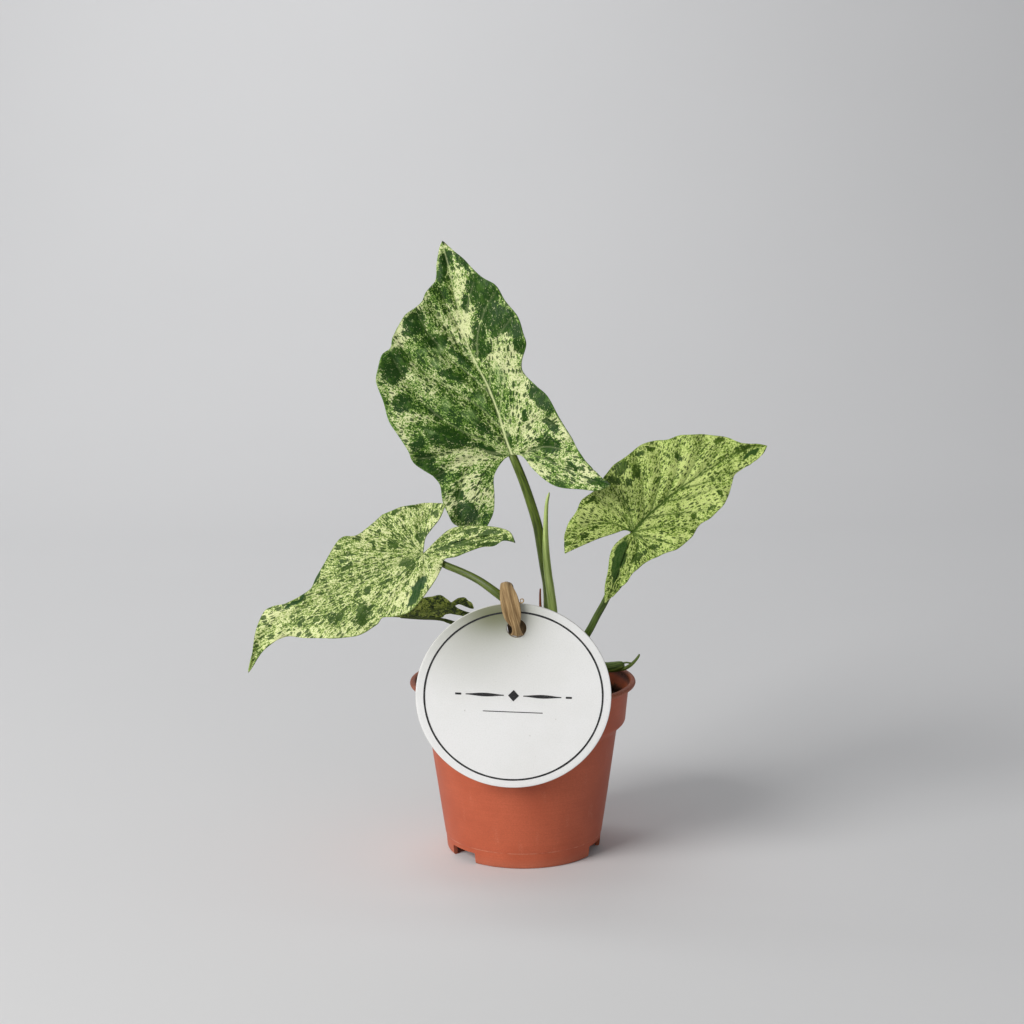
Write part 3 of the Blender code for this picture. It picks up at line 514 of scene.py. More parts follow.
# each vein from its foot outward, in the blade's own a and b
VEINS = {
    "tall": [
        [(0, 0), (5.2, 0.2), (10.8, 0), (18.8, 0.4), (24.3, 1.4), (30.5, 2.1), (37.7, 1.6),
         (43.8, 1.3), (51, 0.6), (56.8, 0.3)],
        [(0, 0), (4.5, 4.5), (10, 10.4), (15.6, 15.1), (21.5, 18.1), (27.6, 20.2), (32.8, 21.5)],
        [(6.8, 0.2), (14.1, 4.1), (20.5, 8.9), (27.4, 14.8), (34.4, 18), (38.8, 18.9)],
        [(15.5, 0.1), (21.2, 2.9), (28.8, 7.6), (36, 10.7), (41.9, 12)],
        [(24.3, 1.4), (31.1, 4.1), (38.3, 6.7), (44.8, 8.3)],
        [(32.4, 2), (39.2, 3.6), (46.3, 4.6)],
        [(0, 0), (1.6, 4.1), (2.1, 8.6), (-1.6, 13.3), (-6.2, 16.7), (-9.6, 18.3)],
        [(1.2, 2.9), (4.7, 9.9), (5.8, 17.7), (7.4, 23.9), (11.5, 26.6)],
        [(1.8, 5.4), (2.5, 12.8), (1.4, 19.1), (0.8, 22)],
        [(0.6, -0.8), (4.1, -4.1), (6.4, -7.5), (6.6, -10.8), (4.3, -13.2)],
        [(5, -0.6), (10.7, -3.5), (15.5, -7.3), (17.3, -10.5)],
        [(11.5, -0.5), (17.9, -3.7), (23.5, -7.7), (25.3, -10.5)],
        [(18.7, -0.1), (24.9, -2.7), (30.5, -6.8), (33.7, -11)],
        [(25.5, 1), (32.2, -1.3), (38.1, -5.5), (41.2, -9.2)],
        [(34.4, 1.3), (40.3, -1.2), (45.4, -4.6)],
        [(0.1, -0.6), (-1.3, -5), (-4.2, -9.4), (-8.3, -14), (-11.3, -18.3)],
        [(-0.5, -3.1), (-0.1, -8.9), (-2.7, -14), (-6.3, -17.2)],
        [(-1, -2.9), (-4.9, -6), (-8.9, -9.9), (-11.4, -14.2)],
    ],
    "left": [
        [(0, 0), (6.1, -1.3), (11.5, -2.3), (22.2, -4.5), (33.7, -5.5), (42.6, -6), (49.4, -2.6),
         (53.1, -0.1)],
        [(0, 0), (2.6, -4.3), (5.9, -8.5), (9.9, -11.6), (14.1, -13.2)],
        [(0, 0), (5.7, -4.2), (12, -8.4), (18.2, -10.6), (23.4, -11.1)],
        [(1.3, -0.3), (9.1, -3.6), (17.2, -6.5), (24.3, -8.2), (29.6, -8.1)],
        [(6.1, -1.3), (16.3, -4.2), (25.7, -6.2), (35.4, -7.7)],
        [(0, 0), (0, -4.6), (-0.1, -8.3), (-2.4, -10.6), (-7, -9.7)],
        [(0, 0), (-1.7, -4.4), (-4.8, -6.7), (-8.8, -7.4)],
        [(0.1, -1.2), (3, -8.3), (3.5, -12.1)],
        [(0, 0), (4.6, 2), (9.7, 4.3), (14.2, 5.8)],
        [(2, -0.2), (7.5, 0.8), (14.5, 2.4), (19.7, 5.1)],
        [(4.9, -0.9), (13.2, -0.5), (22.2, 0.4), (28.2, 2.7)],
        [(10.2, -2), (20.5, -2.3), (30.4, -2.1), (36.4, -1.1)],
        [(19.6, -3.7), (29, -4.3), (38.4, -3.9)],
        [(0, 0), (-4.2, 1.5), (-10.2, 3.7), (-16.3, 5.9), (-20.9, 7.9)],
        [(0, 0), (-3.9, 0), (-9.4, 0.5), (-15.5, 2.7), (-19.6, 5.5)],
        [(0.2, 0.7), (-3.1, 3.1), (-9.1, 5.5), (-15.5, 7.1)],
        [(0, 0), (1.6, 3.4), (4.5, 6.5), (8.7, 8.4)],
    ],
    "right": [
        [(0, -0.1), (5.5, 1.3), (10.8, 2), (16, 2.6), (21.6, 2.7), (26.7, 2.7), (32.1, 2.6),
         (37.3, 1.8), (40.3, 0.8)],
        [(0.4, 0.1), (4.7, 2.1), (7.2, 6.4), (9.3, 10.1), (10.1, 14.2)],
        [(5.5, 1.3), (9.1, 3.7), (12.9, 7.2), (15.6, 11.4)],
        [(10.8, 2), (14.8, 4.5), (18.9, 7.9), (21.6, 11.2)],
        [(16, 2.6), (20.5, 4.8), (24.6, 7.3), (27.2, 9.5)],
        [(21.6, 2.7), (26.1, 4), (30, 5.4)],
        [(0.1, 0.1), (0.4, 4.3), (-1.7, 9.1), (-4.6, 13.1), (-8.1, 14.8)],
        [(-0.1, 0.2), (-2.7, 4.2), (-7, 7), (-12, 8.7), (-15.8, 8.5)],
        [(0.6, 0.3), (2, 5.3), (1.6, 10.8), (1.5, 15)],
        [(0.7, -0.3), (5.4, -2), (9.8, -4.4), (13.7, -7.6)],
        [(5.2, 0.9), (10.9, -1.4), (16.3, -4.2), (20.3, -5.4)],
        [(10.8, 2), (17.1, -0.4), (22.8, -1.8), (26.5, -1.8)],
        [(16.5, 2.3), (22.2, 0.5), (26.9, -0.3), (30.1, 0)],
        [(0, -0.5), (-0.9, -3.8), (-4.5, -6.3), (-8.8, -8.2), (-12.7, -9.4)],
        [(0, -0.5), (2, -4.8), (1.9, -7.7), (-1.4, -9.1)],
        [(0, -0.5), (4.8, -5.1), (8.1, -9.3)],
    ],
    "small": [
        SMALL_LEAF["midrib"],
        [(-1.3, -0.8), (-1.4, 0.1), (-3.3, 0.9), (-5.4, 1.2)],
        [(-1.3, -0.8), (-2, -1.5), (-3.8, -1.3), (-5.3, -0.4)],
        [(1.5, -0.6), (4.5, -1.7), (7.5, -2.4)],
        [(2, -0.4), (5, 0.2), (9, 0.3)]],
}

# each marking: middle a and b, half length, half width, and the direction of its length in degrees
MARKS = {
    ("tall", "dark"): [
        (42.2, -6.2, 6.1, 3.9, -165), (35.1, -6.6, 5.1, 3.9, -170), (32, -10.5, 5.6, 1.8, -170),
        (31.9, -1.2, 3.1, 2.1, -35), (26.6, -10.6, 2.5, 1.3, 175), (28.2, -1.1, 2.1, 1.6, -105),
        (12.1, -11.8, 4.9, 2.1, -155), (4.9, -12.3, 2.7, 1.3, -155), (0.5, -9.8, 3.1, 2, -140),
        (40, 14.2, 3.6, 2.6, -50), (33.8, 9.5, 4.2, 1.8, -120), (31, 22.3, 5.1, 3.6, -35),
        (22, 22.7, 2.5, 2.3, -90), (27.2, 4.5, 3.4, 1, -145), (24.2, 8.5, 3.9, 1.5, -130),
        (16.3, 15.4, 2.6, 1, -135), (9.5, 13.8, 6.4, 2.5, -125), (10.3, 22.2, 2.3, 1.5, -100),
        (5.3, 21.9, 3.5, 2.8, -50), (1.8, 20.1, 2.6, 2, -150), (3.4, 5.4, 4.2, 0.9, -130),
        (9, 5, 3.6, 0.8, -155), (4, -0.2, 2.8, 0.8, -175), (53.6, 0.2, 2.3, 1, -30),
        (51.6, 2.5, 3.6, 1.3, -25), (51.3, -3.2, 3.1, 1, -155), (-0.7, -6, 1.3, 0.6, -85),
        (-4, -9.2, 1.9, 0.6, -135), (-6.6, -14.6, 1.8, 0.5, -130), (-4.8, 16.5, 1.7, 1.3, -50),
        (17, -0.1, 2.6, 0.8, -180), (-9.8, 15.1, 3.4, 2.8, -165), (-9.9, -9.6, 1.5, 0.7, -105),
        (41, -0.9, 2.3, 1.3, -180), (44.9, -3.8, 2.1, 1.3, -170), (8.9, -6.2, 1.6, 1, -45),
        (-11.8, -19.4, 2.6, 1.2, -128), (-10.2, -16.7, 2.2, 0.5, -123), (-8.2, -13.2, 2, 0.5, -122)],
    ("tall", "cream"): [
        (26.8, -5.5, 6.7, 3.4, -180), (19.6, -7.2, 8.7, 3.1, 180), (7.5, -7.3, 6.5, 3.1, -170),
        (44.5, -0.9, 6.7, 1.6, 175), (36.3, -2.7, 4.1, 1.3, -175), (35.8, 1.7, 5.2, 2.4, -155),
        (45, 13.1, 6.2, 2.3, -70), (37.5, 19.1, 4.6, 2, -50), (21.7, 24.2, 3.6, 1.3, -165),
        (17.4, 22, 4.1, 1.3, -100), (2.6, 13.3, 5.1, 1.5, -90), (-1, 9, 4.6, 1.6, -60),
        (12.6, 25.2, 3.6, 1.5, -160), (4.1, 23.6, 4.1, 1.3, -150), (-5.7, -7, 5.8, 1.6, -130),
        (3.1, -13.8, 5.5, 3, -155), (-7.2, -13.9, 5, 3, -130), (-3.6, -12.2, 4.6, 2.4, -130),
        (-5, 13.5, 5, 3.4, -60), (31.6, 1.2, 3.6, 2.1, -145), (32.8, 4.9, 2.1, 1.3, -110),
        (55.3, -1.2, 2.6, 0.8, -180), (-6.3, 20.5, 3, 1.3, -165)],
    ("tall", "smooth"): [
        (28.8, 11.1, 2.3, 1.6, -90), (15.9, 3.3, 3.3, 2.1, -180), (18.5, 12.5, 2.6, 1, 170),
        (20.6, -3.5, 4.1, 1.3, 170), (13.4, 7.6, 2.6, 1.5, -130), (31.5, 9.4, 2.1, 1.3, -110),
        (12.2, 17.8, 2.1, 0.8, -110), (33, 13.8, 1.5, 1, -110)],
    ("left", "dark"): [
        (-10, 3.2, 4.2, 0.6, 162), (-15, 6.6, 3.2, 0.7, 158), (-6, 1.8, 2.6, 0.5, 165),
        (-20.2, 8.3, 1.8, 1.1, 150), (-12.5, 1.2, 3.4, 0.5, 160), (-17, 4.6, 3, 0.6, 150),
        (5.2, -6.3, 1.7, 1.2, 115), (4.6, 0.1, 2.2, 1.3, 155), (18.1, -8, 1.6, 0.8, 170),
        (26.6, 0.7, 2.4, 1.6, 150), (20.1, 3.8, 1.9, 1.9, 110), (5.8, -11, 1, 0.5, 175),
        (-2.1, -4.1, 0.8, 1.3, 145), (17.9, 3.6, 1, 0.7, 150), (22, 4.8, 1.8, 0.9, 150),
        (0.2, -12, 1.4, 0.5, 155), (-3.8, -10.8, 1.6, 0.5, 145), (-7.8, -7.1, 1.2, 0.5, 175),
        (15.4, -9.4, 1, 0.4, 165), (18.5, -10.2, 0.8, 0.5, 145), (16.8, -0.6, 1.2, 0.7, 150),
        (11, 0.8, 1.2, 0.5, 165), (30.6, -0.8, 1, 0.9, 150), (19.4, 1.6, 1.2, 0.7, 120),
        (35.6, -2.5, 1, 0.5, 150), (42.5, -6.2, 1, 0.5, 150), (9.6, -8.8, 1, 0.4, 120)],
    ("left", "smooth"): [
        (6.2, 6.4, 4.5, 1.4, -155), (33.3, -8.1, 3.8, 0.5, 180), (26.8, -9.2, 2.2, 0.6, -160)],
    ("left", "cream"): [
        (0.5, 6.8, 5.2, 1.2, -155), (10.6, 5.9, 2.5, 1.4, 150), (4.2, -5, 2, 0.7, 110),
        (-3.3, 5.1, 2.5, 1.2, -165), (41.9, -2.2, 5.1, 1.2, 175), (12.5, -13.7, 3.6, 0.7, 155),
        (38.5, -7.4, 4.6, 2.2, 165)],
    ("right", "dark"): [
        (6.5, 14.8, 2.1, 1.4, 15), (9, 12, 1.7, 0.9, 35), (15.4, 14.8, 1.4, 0.7, -40),
        (12, 15.2, 1.1, 0.6, -30), (30.5, 7.2, 0.9, 0.7, 0), (34, 2.7, 0.7, 0.7, -30),
        (26.5, 0.5, 0.8, 0.4, -30), (24.4, -3.9, 0.9, 0.5, -10), (2.6, -6.2, 1.4, 0.7, -15),
        (-2.3, -5.8, 1.7, 0.7, 0), (-0.5, -5.4, 1.1, 0.5, -5), (12.2, -3.1, 0.8, 0.5, -30),
        (15, -4.8, 0.7, 0.5, -30), (16.2, -5.8, 0.6, 0.3, -30), (2.4, 7.4, 0.6, 0.8, -15),
        (2.8, 4.8, 0.7, 0.5, -35), (-7.4, 5.5, 1.1, 0.5, -20), (-11, 6, 1.4, 0.7, -10),
        (-4.9, 12.6, 1.4, 0.7, -5), (20.5, -5.2, 1.4, 0.4, -5), (3, 13.5, 1.9, 1.4, -30),
        (5.6, 10.9, 1.5, 1.1, -30), (9, -4.2, 0.8, 0.4, -50), (20.4, 9.9, 0.7, 1.4, -15),
        (12.3, 7.6, 0.3, 1.4, -65), (11, -10.2, 1.8, 0.7, -10), (4.7, -5.3, 1.4, 0.5, -20),
        (-15.8, 7, 1, 0.6, 10), (36, 2.6, 1.1, 0.6, -10)],
    ("right", "smooth"): [
        (-5.7, -2.7, 4.8, 1.8, 40), (-8.7, -5.8, 2.4, 1, 35), (36.5, 0.5, 3.1, 0.7, -5)],
    ("right", "cream"): [
        (-6.1, -1.1, 3.9, 0.8, 40), (18.8, -2.3, 5.1, 2.9, -10), (-6.9, 9.6, 3, 2.5, 5),
        (19.4, 3.1, 5.1, 2, -10), (-1.3, 8.8, 3.5, 1.5, -70), (7.1, 0.6, 4, 1.2, 10),
        (19.3, 7.6, 3.1, 3, -30), (6.3, -5.1, 4.5, 1, -30)],
}

# %% [markdown]
# ## Repeatable noise for shapes
# Shader noise can't move corners, so lumps in a surface need noise worked out with numpy. A small cube
# of random numbers is read at each corner's place, with the eight nearest values blended smoothly. The
# seed is fixed, so that every run gives the same lumps.

# %% Noise for corners
LATTICE_SIDE = 32
LATTICE = np.random.RandomState(7).rand(LATTICE_SIDE, LATTICE_SIDE, LATTICE_SIDE)


def lumps(points, scale, seed=0):
    """Blend of the eight lattice values round each point * scale, with smooth weights: -1 to 1."""
    q = np.asarray(points, dtype=float) * scale + 17.31 * seed + 100.0
    low = np.floor(q).astype(int)
    f = q - low
    f = f * f * (3 - 2 * f)
    total = 0.0
    for i, j, k in np.ndindex(2, 2, 2):
        share = (np.where(i, f[..., 0], 1 - f[..., 0]) * np.where(j, f[..., 1], 1 - f[..., 1])
                 * np.where(k, f[..., 2], 1 - f[..., 2]))
        x, y, z = np.moveaxis((low + (i, j, k)) % LATTICE_SIDE, -1, 0)
        total = total + share * LATTICE[x, y, z]
    return 2 * total - 1


print("noise at two places:", np.round(lumps([[0.5, 0.5, 0.5], [9.3, 2.2, 1.1]], 1.0), 3))

# %% [markdown]
# ## The blades' surfaces
# A half blade is filled by stretching straight rows between its veins and its edge. What makes it look
# grown is the depth: the two halves are folded along the midrib, the lobes cup forward, the blade sinks a
# little along each vein and swells between them, and its margin ripples. All of that is one sum of
# simple terms for every corner at once.

# %% Depth of a blade
# points along a vein; strength of a side vein beside the midrib's; share that a vein loses to its end
VEIN_STEPS, SIDE_VEIN, VEIN_FADE = 200, 0.7, 0.65
# small ripples to one wave of the margin; how far from a vein the blade has swollen, as shape and as a tint
# that is partly painted shade
RIPPLES, SWELL_REACH, BULGE_REACH = 2.7, 2.2, 1.7


def marks_field(a, b, marks):
    """1 in the middle of a mark, 0 on its outline and down to -1 outside: the greatest over all marks."""
    a0, b0, half_long, half_wide, angle = np.array(marks, dtype=float).T
    turn = np.radians(angle)
    da, db = a[:, None] - a0, b[:, None] - b0
    along = (da * np.cos(turn) + db * np.sin(turn)) / half_long
    aside = (db * np.cos(turn) - da * np.sin(turn)) / half_wide
    return np.clip(np.max(1.0 - np.hypot(along, aside), axis=1), -1.0, 1.0)


def vein_fields(a, b, veins, width, side_share):
    """Distance to the nearest vein, how strongly each corner lies in a vein, and in a vein's groove.

    A vein is a bell curve of the distance to it, which fades from its foot to its end. The first vein is
    the midrib, drawn width times as wide as the others, and the others show by side_share of it.
    """
    nearest = np.full(len(a), 99.0)
    line = np.zeros(len(a))
    groove = np.zeros(len(a))
    for number, vein in enumerate(veins):
        path = smooth_line(vein, VEIN_STEPS)
        away = np.hypot(a[:, None] - path[:, 0], b[:, None] - path[:, 1])
        where = np.argmin(away, axis=1)
        away = away[np.arange(len(a)), where]
        strength = (SIDE_VEIN if number else 1.0) * (1.0 - VEIN_FADE * where / VEIN_STEPS)
        shown = strength * (side_share if number else 1.0)
        wide = (1.0 if number else width) * (0.16 + 0.14 * strength)
        line = np.maximum(line, shown * np.exp(-(away / wide) ** 2))
        groove = np.maximum(groove, strength * np.exp(-(away / (0.6 + 0.5 * strength)) ** 2))
        nearest = np.minimum(nearest, away)
    return nearest, line, groove


def blade_depth(leaf, a, b, across, along, nearest, groove):
    """Depth of a blade: lean + fold + arch + cup as in the solids, and vein grooves, swells and ripples."""
    rib = np.array(leaf["midrib"], dtype=float)
    off = b - np.interp(a, rib[:, 0], rib[:, 1])
    y = leaf["junction"][1] + leaf["lean"] * a + leaf["side"] * b
    y -= leaf["fold"] * (np.sqrt(off * off + 1.0) - 1.0)
    y += leaf["arch"] * np.maximum(a / leaf["length"], 0.0) ** 2 - leaf["lobe_cup"] * np.minimum(a, 0.0) ** 2
    y += leaf["wave"] * across ** 2 * np.sin(math.tau * leaf["wave_count"] * along)
    y += leaf["ripple"] * across ** 4 * np.sin(math.tau * RIPPLES * leaf["wave_count"] * along + 1.0)
    y += leaf["groove"] * groove
    y -= leaf["swell"] * (1.0 - np.exp(-(nearest / SWELL_REACH) ** 2)) * (1.0 - across ** 3)
    for a0, b0, reach_a, reach_b, rise in leaf["bumps"]:
        y -= rise * np.exp(-((a - a0) / reach_a) ** 2 - ((b - b0) / reach_b) ** 2)
    return y


def place_of_blade(leaf, a, y, b):
    """A blade's a and b turned about its junction, with the depth y: x, y and z."""
    turn = math.radians(leaf["turn"])
    x = leaf["junction"][0] + a * math.cos(turn) - b * math.sin(turn)
    z = leaf["junction"][2] + a * math.sin(turn) + b * math.cos(turn)
    return x, y, z


def half_blade(leaf, side, rows):
    """Two strips of a half blade: (a, b), share across, share along, share to the edge, and triangles."""
    half = leaf[side]
    rib_rows, lobe_rows, across, inner = rows
    rib = smooth_line(leaf["midrib"], rib_rows)
    vein = smooth_line(half["vein"], lobe_rows)
    sinus = smooth_line(half["sinus"], lobe_rows)
    cut = half["shoulder"]
    edge = np.vstack([smooth_line(half["margin"][:cut + 1], lobe_rows),
                      smooth_line(half["margin"][cut:], rib_rows)[1:]])
    spine = np.vstack([vein[::-1], rib[1:]])
    strips = []
    for near, far, columns, rim in ((spine, edge, across, True), (vein, sinus, inner, False)):
        t = np.linspace(0, 1, columns + 1)
        ab = near[:, None, :] + (far - near)[:, None, :] * t[None, :, None]
        run, reach = np.broadcast_arrays(np.linspace(0, 1, len(near))[:, None], t[None, :])
        faces = grid_faces(len(near), columns + 1)
        if (side == "plus") == rim:
            faces = faces[:, ::-1]
        strips.append((ab.reshape(-1, 2), reach.ravel() * rim, run.ravel(), reach.ravel(), faces))
    return strips


def joined(parts):
    """Put several meshes into one; each is a tuple of points, of fields, and last of triangles."""
    start = np.cumsum([0] + [len(part[0]) for part in parts[:-1]])
    faces = np.vstack([part[-1] + first for part, first in zip(parts, start)])
    return *(np.concatenate(column) for column in list(zip(*parts))[:-1]), faces


def blade_piece(name, key, leaf, finish, rows, thickness):
    """Whole blade: both halves' grids side by side, welded, with its markings as attributes."""
    ab, across, along, edge, faces = joined(half_blade(leaf, "plus", rows) + half_blade(leaf, "minus", rows))
    a, b = ab.T
    nearest, line, groove = vein_fields(a, b, VEINS[key], *leaf["vein_look"])
    y = blade_depth(leaf, a, b, across, along, nearest, groove)
    points = np.stack(place_of_blade(leaf, a, y, b), axis=1)
    flow = np.stack([np.hypot(a, b), np.arctan2(b, a), 0 * a], axis=1)
    bulge = 1.0 - np.exp(-(nearest / BULGE_REACH) ** 2)
    fields = {"vein": line, "flow": flow, "edge": edge, "bulge": bulge, "groove": groove}
    place = np.stack([a, b, 0 * a], axis=-1)
    # two sizes of noise make the outlines of the marks uneven
    a = a + 0.9 * lumps(place, 0.42, 31) + 0.5 * lumps(place, 1.1, 32)
    b = b + 0.9 * lumps(place, 0.42, 33) + 0.5 * lumps(place, 1.1, 34)
    for kind in ("dark", "cream", "smooth"):
        fields[kind] = marks_field(a, b, MARKS[key, kind]) if (key, kind) in MARKS else np.full(len(a), -1.0)
    piece = put_piece(name, points, faces, finish, (key + "_leaf_blade",), fields)
    print(name, len(piece.data.polygons), "triangles a side")
    return thicken(piece, thickness)


# %% [markdown]
# ## The blades' finish
# The plant is variegated: some cells of the leaf make no green, so that it shows cream, pale green, mid
# green and deep green. Three kinds of mark lie over each other: strokes that run out from the stalk,
# fine speckle, and soft blotches. The strokes are noise read by distance from the stalk and by angle
# round it. Angle alone would make them wider and wider outwards, so each time the distance doubles, the
# angle is counted twice as finely, and two such readings are blended. The patches are soft fields that
# the blade carries, whose edge a noise makes ragged. One node group does this for all four blades.

# %% Node group for strokes that run out from the stalk
leaf_strokes, take, last = new_group("leaf_strokes", {"Flow": "Vector", "Finely": "Float", "Length": "Float"},
                                     {"Value": "Float", "Dashes": "Float"})
away, angle, _ = parts_of(take["Flow"])
level = maths("LOGARITHM", maths("MAXIMUM", away, 0.8) / 4.0, 2.0)
low = maths("FLOOR", level)
share = level - low
rest = 1.0 - share
both = 0.0
dashes = 0.0
for octave, weight in ((low, rest), (low + 1.0, share)):
    turns = angle * take["Finely"] * 2.0 ** octave
    spot = Output(add(leaf_strokes, "CombineXYZ", {0: away / take["Length"], 1: turns, 2: octave * 3.7}))
    both = both + noise(spot, 1.0, 3.0, 0.6) * weight
    shaken = vector_maths("ADD", spot, vector_maths("SCALE", noise(spot, 2.5, 2.0, output=1), 0.5))
    chance, from_middle = cells(shaken, 0.9, "2D")
    radius = chance ** 2.0 * maths("SQRT", weight) * 0.62
    dashes = maths("MAXIMUM", dashes, step_between(radius - from_middle, -0.02, 0.04))
spread = share * share + rest * rest
fill(last, {"Value": (both - 0.5) / maths("SQRT", spread) + 0.5, "Dashes": dashes})
print("strokes group:", len(leaf_strokes.nodes), "nodes")

# %% Node group for the markings
LEAF_COLOURS = ("Deep colour", "Mid colour", "Pale colour", "Cream colour", "Smooth colour", "Vein colour")
LEAF_AMOUNTS = ("Strokes", "Hairs", "Speckle", "Blotches", "Regions", "Dots", "Finely", "Length", "Tone",
                "Quilt tint and shade", "Smooth share", "Smooth width", "Vein strength", "Ragged", "Groove shade")
LEAF_FIELDS = ("Dark", "Cream", "Smooth", "Vein", "Groove", "Bulge", "Edge")
leaf_markings, take, last = new_group(
    "leaf_markings",
    {"Place": "Vector", "Flow": "Vector", **dict.fromkeys(LEAF_FIELDS, "Float"),
     **dict.fromkeys(LEAF_COLOURS, "Color"), **dict.fromkeys(LEAF_AMOUNTS, "Float")},
    {"Color": "Color", "Height": "Float", "Gloss": "Float"})
deep, mid = take["Deep colour"], take["Mid colour"]


def centred(value, weight):
    """A noise's distance from its middle value, times a weight."""
    return (value - 0.5) * weight


warp = vector_maths("SUBTRACT", noise(take["Place"], 0.5, 2.0, output=1), (0.5, 0.5, 0.5))
place = vector_maths("ADD", take["Place"], vector_maths("SCALE", warp, 1.5))
broad = use_group(leaf_markings, leaf_strokes,
                  {"Flow": take["Flow"], "Finely": take["Finely"], "Length": take["Length"]})
thin = use_group(leaf_markings, leaf_strokes,
                 {"Flow": take["Flow"], "Finely": take["Finely"] * 2.7, "Length": take["Length"] * 0.6})
strokes, hairs = broad["Value"], thin["Value"]
speckle = noise(place, 2.7, 3.0, 0.62)
blotches = noise(place, 0.5, 4.0, 0.6)
region = noise(take["Place"], 0.14, 2.0)
crumbled = noise(place, 1.1, 4.0, 0.7)
ragged = (centred(blotches, 1.0) + centred(crumbled, 1.2) + centred(strokes, 0.9)) * take["Ragged"]
cream = step_between(take["Cream"] + ragged, -0.35, 0.35)
# the Bulge term makes the blade paler on its swells and greener near its veins: partly the leaf's own colour,
# partly painted shade of its quilted relief
tone = (centred(strokes, take["Strokes"]) + centred(hairs, take["Hairs"]) + centred(speckle, take["Speckle"])
        + centred(blotches, take["Blotches"]) + centred(region, take["Regions"]) + take["Tone"]
        + centred(take["Bulge"], take["Quilt tint and shade"]) + cream * 0.11)
base = layered(deep, (step_between(tone, -0.115, -0.07), mid),
               (step_between(tone, -0.02, 0.02), take["Pale colour"]),
               (step_between(tone, 0.06, 0.12), take["Cream colour"]))
chance, from_middle = cells(place, 1.5)
dots = step_between(chance ** 2.0 * 0.36 - from_middle, -0.03, 0.03)
dots = maths("MULTIPLY", maths("MAXIMUM", broad["Dashes"], dots) * take["Dots"], 0.9, clamp=True)
dark = step_between(take["Dark"] + ragged, -0.02, 0.05)
holes = centred(hairs, 0.6) + centred(speckle, 0.7) + centred(strokes, 0.3)
dark = dark * step_between(holes, 0.1, 0.15, 1.0, 0.45)
uneven = centred(strokes, 0.5) + centred(blotches, 0.9)
dark_tone = blend_colours(step_between(uneven, -0.04, 0.14, 0.0, 0.35), deep, mid)
# painted shade: the blade is darkened towards its deep green in the grooves along its veins
groove_shade = maths("MULTIPLY", take["Groove"] ** 3.0, take["Groove shade"], clamp=True)
smooth = take["Smooth"] + ragged * take["Smooth width"]
smooth = maths("DIVIDE", smooth, take["Smooth width"] + 0.08, clamp=True) * take["Smooth share"]
vein = maths("MULTIPLY", take["Vein"], take["Vein strength"], clamp=True)
base = layered(base, (dots, deep), (dark, dark_tone), (groove_shade, deep), (smooth, take["Smooth colour"]),
               (vein, take["Vein colour"]), (step_between(take["Edge"], 0.97, 1.0, 0.0, 0.55), mid))
grain = noise(take["Place"], 3.4, 2.0, 0.6)
height = strokes * 0.7 + hairs * 0.25 + grain * 0.15 + blotches * 0.9
fill(last, {"Color": base, "Height": height, "Gloss": maths("MAXIMUM", dark, smooth)})
print("markings group:", len(leaf_markings.nodes), "nodes")

# %% Finish of one blade


def leaf_finish(name, colours, amounts):
    """Blade material: the markings group with this blade's colours, a soft waxy sheen and a fine relief."""
    finish, tree, shader = new_finish(name)
    inputs = {"Place": millimetres(tree), "Flow": carried_by(tree, "flow", "Vector")}
    inputs.update({field: carried_by(tree, field.lower()) for field in LEAF_FIELDS})
    inputs.update({kind: srgb(*colour) for kind, colour in zip(LEAF_COLOURS, colours)})
    inputs.update(zip(LEAF_AMOUNTS, amounts))
    marks = use_group(tree, leaf_markings, inputs)
    fill(shader, {"Base Color": marks["Color"], "Roughness": slide(marks["Gloss"], 0.52, 0.42),
                  "Specular IOR Level": 0.22, "Normal": bumped(marks["Height"], 0.6, 0.0006)})
    return finish


tall_finish = leaf_finish(
    "tall_leaf_green",
    ((28, 62, 6), (84, 124, 36), (140, 168, 84), (216, 221, 166), (132, 164, 98), (208, 216, 158)),
    (0.3, 0.45, 1.05, 0.4, 0.5, 1.0, 6.5, 1.7, 0.005, 0.0, 0.45, 0.7, 1.4, 1.0, 0.25))
left_finish = leaf_finish(
    "left_leaf_green",
    ((50, 78, 18), (112, 140, 58), (172, 190, 108), (222, 228, 166), (36, 74, 32), (168, 186, 112)),
    (0.5, 0.65, 1.05, 0.2, 0.25, 1.0, 8.2, 2.0, 0.05, 0.06, 0.95, 0.1, 0.2, 1.2, 0.3))
right_finish = leaf_finish(
    "right_leaf_green",
    ((50, 76, 10), (116, 146, 46), (166, 190, 92), (204, 219, 132), (40, 74, 20), (62, 90, 20)),
    (0.35, 0.7, 1.35, 0.2, 0.3, 1.0, 10.0, 1.4, 0.07, 0.06, 0.95, 0.12, 1.5, 1.5, 0.45))
small_finish = leaf_finish(
    "small_leaf_green",
    ((38, 54, 4), (98, 116, 32), (148, 162, 62), (192, 200, 100), (56, 72, 18), (122, 136, 48)),
    (0.3, 0.4, 0.8, 0.9, 0.3, 0.9, 6.0, 1.6, 0.04, 0.1, 0.9, 0.1, 0.5, 1.0, 0.4))
print("finishes:", tall_finish.name, left_finish.name, right_finish.name, small_finish.name)

# %% [markdown]
# ## Laying out the blades
# Each blade is one call with its own number of rows. The small leaf is half hidden, so it gets fewer. The
# sheets are given their thickness by a Solidify modifier, which also closes their edges.

# %% The four blades
blade_piece("tall_blade", "tall", TALL_LEAF, tall_finish, (150, 60, 64, 20), 0.36)
blade_piece("left_blade", "left", LEFT_LEAF, left_finish, (140, 60, 44, 16), 0.34)
blade_piece("right_blade", "right", RIGHT_LEAF, right_finish, (120, 56, 50, 14), 0.34)
blade_piece("small_blade", "small", SMALL_LEAF, small_finish, (60, 24, 14, 6), 0.3)

